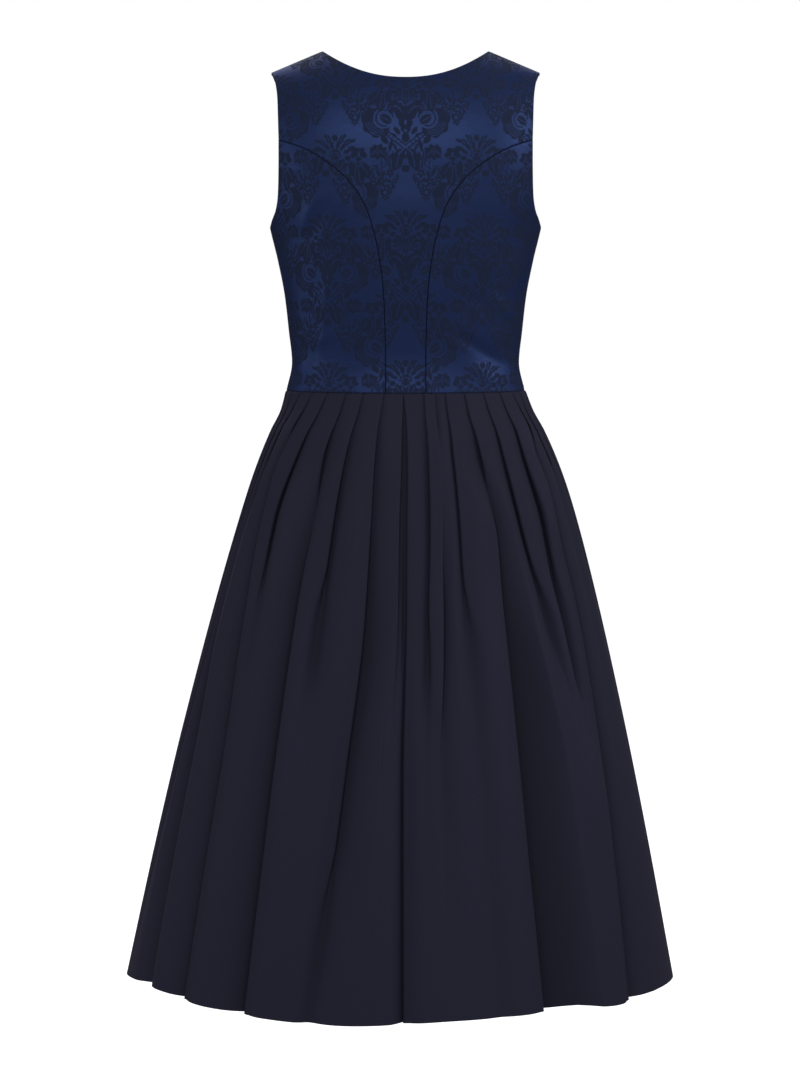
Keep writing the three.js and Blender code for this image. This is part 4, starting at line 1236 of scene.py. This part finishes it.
def jacquard_finish(colours, sizes):
    """Satin ground with a matt motif; the ground shines in its own blue, the motif hardly does."""
    finish, graph, shader = new_finish("bodice jacquard")
    cloth = cloth_coordinates(graph)
    damask = use_group(graph, damask_group(), {
        "Cloth": cloth, "Across": sizes.repeat_across, "Down": sizes.repeat_down})
    weave = use_group(graph, weave_group(), {"Cloth": cloth, "Pitch": sizes.weave_pitch})
    motif = damask["Motif"]
    tuck = graph.node("ShaderNodeAttribute", attribute_name="tuck").outputs["Fac"]
    colour = graph.blend(motif, (*colours.satin, 1), (*colours.motif, 1))
    streak = graph.math("MULTIPLY_ADD", weave["Uneven"], 0.5, -0.12, clamp=True)
    colour = graph.blend(streak, colour, (*(0.55 * value for value in colours.motif), 1))
    # Painted shade along the seams and edges, where a panel turns in
    colour = graph.blend(graph.math("MULTIPLY", tuck, 0.75), colour, (*SEAM_SHADOW, 1))
    graph.tree.links.new(colour, shader.inputs["Base Color"])
    ground = graph.math("SUBTRACT", 1.0, motif)
    graph.tree.links.new(graph.math("MULTIPLY", ground, SATIN_SHINE), shader.inputs["Metallic"])
    rough = graph.math("MULTIPLY_ADD", motif, 0.36, 0.34)
    rough = graph.math("MULTIPLY_ADD", weave["Uneven"], 0.08, rough)
    graph.tree.links.new(rough, shader.inputs["Roughness"])
    shader.inputs["Specular IOR Level"].default_value = 0.04
    shader.inputs["Specular Tint"].default_value = (0.35, 0.4, 0.55, 1)
    bump = graph.node("ShaderNodeBump", {
        "Strength": 0.25, "Distance": 0.00008, "Height": weave["Height"]})
    graph.tree.links.new(bump.outputs[0], shader.inputs["Normal"])
    return finish


def skirt_finish(colours):
    """Plain matt cloth, with painted shade deep in its folds and a painted highlight on its highest
    crowns.
    """
    finish, graph, shader = new_finish("skirt cloth")
    tuck = graph.node("ShaderNodeAttribute", attribute_name="tuck").outputs["Fac"]
    # Painted shade deep in the folds and a painted highlight on the highest crowns, both read from
    # the tuck attribute
    dark = (*(FOLD_SHADE * value for value in colours.skirt), 1)
    painted_highlight = (*(PAINTED_HIGHLIGHT * value for value in colours.skirt), 1)
    colour = graph.blend(graph.math("MAXIMUM", tuck, 0.0), (*colours.skirt, 1), dark)
    raised = graph.math("MULTIPLY", tuck, -1.0, clamp=True)
    colour = graph.blend(raised, colour, painted_highlight)
    graph.tree.links.new(colour, shader.inputs["Base Color"])
    shader.inputs["Roughness"].default_value = 0.75
    shader.inputs["Specular IOR Level"].default_value = 0.06
    shader.inputs["Sheen Weight"].default_value = 0.02
    shader.inputs["Sheen Roughness"].default_value = 0.4
    shader.inputs["Sheen Tint"].default_value = (0.8, 0.7, 1.0, 1)
    return finish


# ---- Light: name, place, width, height, power; metres and watts ----------------------------------
LIT_MIDDLE = Vector((0, 0, -0.55))       # every softbox faces this place
SOFTBOXES = (
    ("softbox left", (2.3, 0.35, -0.3), 0.9, 1.4, 16),
    ("softbox right", (-2.0, 0.45, 0.5), 1.0, 1.2, 30),
    ("softbox above", (0.1, 2.35, 1.15), 3.0, 1.4, 66),
    ("softbox behind", (0.0, 4.3, -0.2), 8.0, 5.0, 79),
    ("softbox front", (0.3, -2.2, 1.9), 2.4, 2.0, 50),
)


# ---- Operators -----------------------------------------------------------------------------------
class DIRNDL_OT_bodice(bpy.types.Operator):
    """Cut and sew the seven panels of the jacquard bodice"""

    bl_idname = "dirndl.bodice"
    bl_label = "Bodice"

    def execute(self, context):
        sizes = context.scene.dirndl_sizes
        finish = jacquard_finish(context.scene.dirndl_colours, sizes)
        back = centre_places(BACK_PRINCESS, BACK_ARMHOLE, back_neckline, BACK_FAN_Z)
        side_back = side_places(BACK_PRINCESS, BACK_UNDERARM)
        front = centre_places(FRONT_PRINCESS, FRONT_ARMHOLE, front_neckline, FRONT_FAN_Z, True)
        side_front = side_places(FRONT_PRINCESS, FRONT_UNDERARM)
        centre_back = (0.0, 0.0)
        at_side_back = motif_place("back", *SIDE_BACK_MOTIF)
        at_front = motif_place("front", *FRONT_MOTIF)
        at_side_front = motif_place("front", *SIDE_FRONT_MOTIF)
        panels = (
            ("back_centre", "back", back, 1, centre_back, ["top"]),
            ("back_side_left", "back", side_back, 1, at_side_back, ["first", "last"]),
            ("back_side_right", "back", side_back, -1, at_side_back, ["first", "last"]),
            ("front_centre_left", "front", front, 1, at_front, []),
            ("front_centre_right", "front", front, -1, at_front, ["first"]),
            ("front_side_left", "front", side_front, 1, at_side_front, ["first"]),
            ("front_side_right", "front", side_front, -1, at_side_front, ["first"]),
        )
        for node, side, places, handed, motif_at, laps in panels:
            piece, points = bodice_piece(node + "_jacquard", side, places, handed, motif_at,
                                         laps, finish, sizes)
            width = float(np.linalg.norm(np.diff(points, axis=1), axis=2).sum(1).max()) * MM
            low = points[..., 2].min() * MM
            high = points[..., 2].max() * MM
            height = float(high - low) * HEIGHT_EASE
            area = min(cloth_area(points), width * height)
            area = max(area, LEAST_SHARE * width * height)
            hand_over(piece, node)
        return {"FINISHED"}


class DIRNDL_OT_skirt(bpy.types.Operator):
    """Pleat the back and the front of the skirt"""

    bl_idname = "dirndl.skirt"
    bl_label = "Skirt"

    def execute(self, context):
        sizes = context.scene.dirndl_sizes
        finish = skirt_finish(context.scene.dirndl_colours)
        halves = (
            ("skirt_back", "back", BACK_LEFT, BACK_RIGHT),
            ("skirt_front", "front", FRONT_HALF, FRONT_HALF),
        )
        for node, side, left, right in halves:
            piece, points = skirt_half(node + "_cloth", side, left, right, finish, sizes)
            hand_over(piece, node)
        return {"FINISHED"}


class DIRNDL_OT_stage(bpy.types.Operator):
    """Set up the floor, the soft light and the camera"""

    bl_idname = "dirndl.stage"
    bl_label = "Stage"

    def execute(self, context):
        stage = context.scene.dirndl_stage
        scene = context.scene
        scene.view_settings.view_transform = "Standard"
        bpy.ops.object.select_all(action="DESELECT")
        floor_z = CAD_BOX[0].z - stage.floor_drop
        bpy.ops.mesh.primitive_plane_add(size=60, location=(0, 0, floor_z))
        floor = context.object
        floor.name = "floor"
        pale, graph, shader = new_finish("pale floor")
        shader.inputs["Base Color"].default_value = (0.35, 0.35, 0.35, 1)
        shader.inputs["Roughness"].default_value = 0.9
        shader.inputs["Specular IOR Level"].default_value = 0.0
        shader.inputs["Emission Color"].default_value = (1, 1, 1, 1)
        seen = graph.node("ShaderNodeLightPath").outputs["Is Camera Ray"]
        graph.tree.links.new(seen, shader.inputs["Emission Strength"])
        floor.data.materials.append(pale)

        world = bpy.data.worlds.new("studio")
        scene.world = world
        world.use_nodes = True
        world.node_tree.nodes.clear()
        graph = Graph(world.node_tree)
        seen = graph.node("ShaderNodeLightPath").outputs["Is Camera Ray"]
        strength = graph.math("MULTIPLY_ADD", seen, 1 - stage.ambient, stage.ambient)
        light = graph.node("ShaderNodeBackground", {1: strength})
        light.inputs[0].default_value = (1, 1, 1, 1)
        graph.node("ShaderNodeOutputWorld", {0: light.outputs[0]})

        for name, place, wide, tall, power in SOFTBOXES:
            bpy.ops.object.light_add(type="AREA", location=place)
            lamp = context.object
            lamp.name = name
            lamp.data.shape = "RECTANGLE"
            lamp.data.size = wide
            lamp.data.size_y = tall
            lamp.data.energy = power
            lamp.visible_camera = False
            lamp.rotation_euler = (LIT_MIDDLE - lamp.location).to_track_quat("-Z", "Y").to_euler()

        place = (stage.aside, stage.distance, stage.camera_height)
        bpy.ops.object.camera_add(location=place)
        camera = context.object
        aim = Vector((stage.aside, 0, stage.aim_height))
        camera.rotation_euler = (aim - camera.location).to_track_quat("-Z", "Y").to_euler()
        camera.data.lens = stage.lens
        camera.data.sensor_width = 36
        scene.camera = camera
        return {"FINISHED"}


class DIRNDL_PT_panel(bpy.types.Panel):
    """The dirndl's pieces, sizes and colours"""

    bl_label = "Dirndl"
    bl_idname = "DIRNDL_PT_panel"
    bl_space_type = "VIEW_3D"
    bl_region_type = "UI"
    bl_category = "Dirndl"

    def draw(self, context):
        layout = self.layout
        for operator in OPERATORS:
            layout.operator(operator.bl_idname)
        for group in (context.scene.dirndl_sizes, context.scene.dirndl_colours,
                      context.scene.dirndl_stage):
            box = layout.box()
            for name in group.__annotations__:
                box.prop(group, name)


GROUPS = (DirndlSizes, DirndlColours, DirndlStage)
OPERATORS = (DIRNDL_OT_bodice, DIRNDL_OT_skirt, DIRNDL_OT_stage)
CLASSES = GROUPS + OPERATORS + (DIRNDL_PT_panel,)


def register():
    for item in CLASSES:
        bpy.utils.register_class(item)
    bpy.types.Scene.dirndl_sizes = bpy.props.PointerProperty(type=DirndlSizes)
    bpy.types.Scene.dirndl_colours = bpy.props.PointerProperty(type=DirndlColours)
    bpy.types.Scene.dirndl_stage = bpy.props.PointerProperty(type=DirndlStage)


def unregister():
    del bpy.types.Scene.dirndl_sizes
    del bpy.types.Scene.dirndl_colours
    del bpy.types.Scene.dirndl_stage
    for item in reversed(CLASSES):
        bpy.utils.unregister_class(item)


def main():
    register()
    bpy.ops.dirndl.stage()
    bpy.ops.dirndl.bodice()
    bpy.ops.dirndl.skirt()


if __name__ == "__main__":
    main()
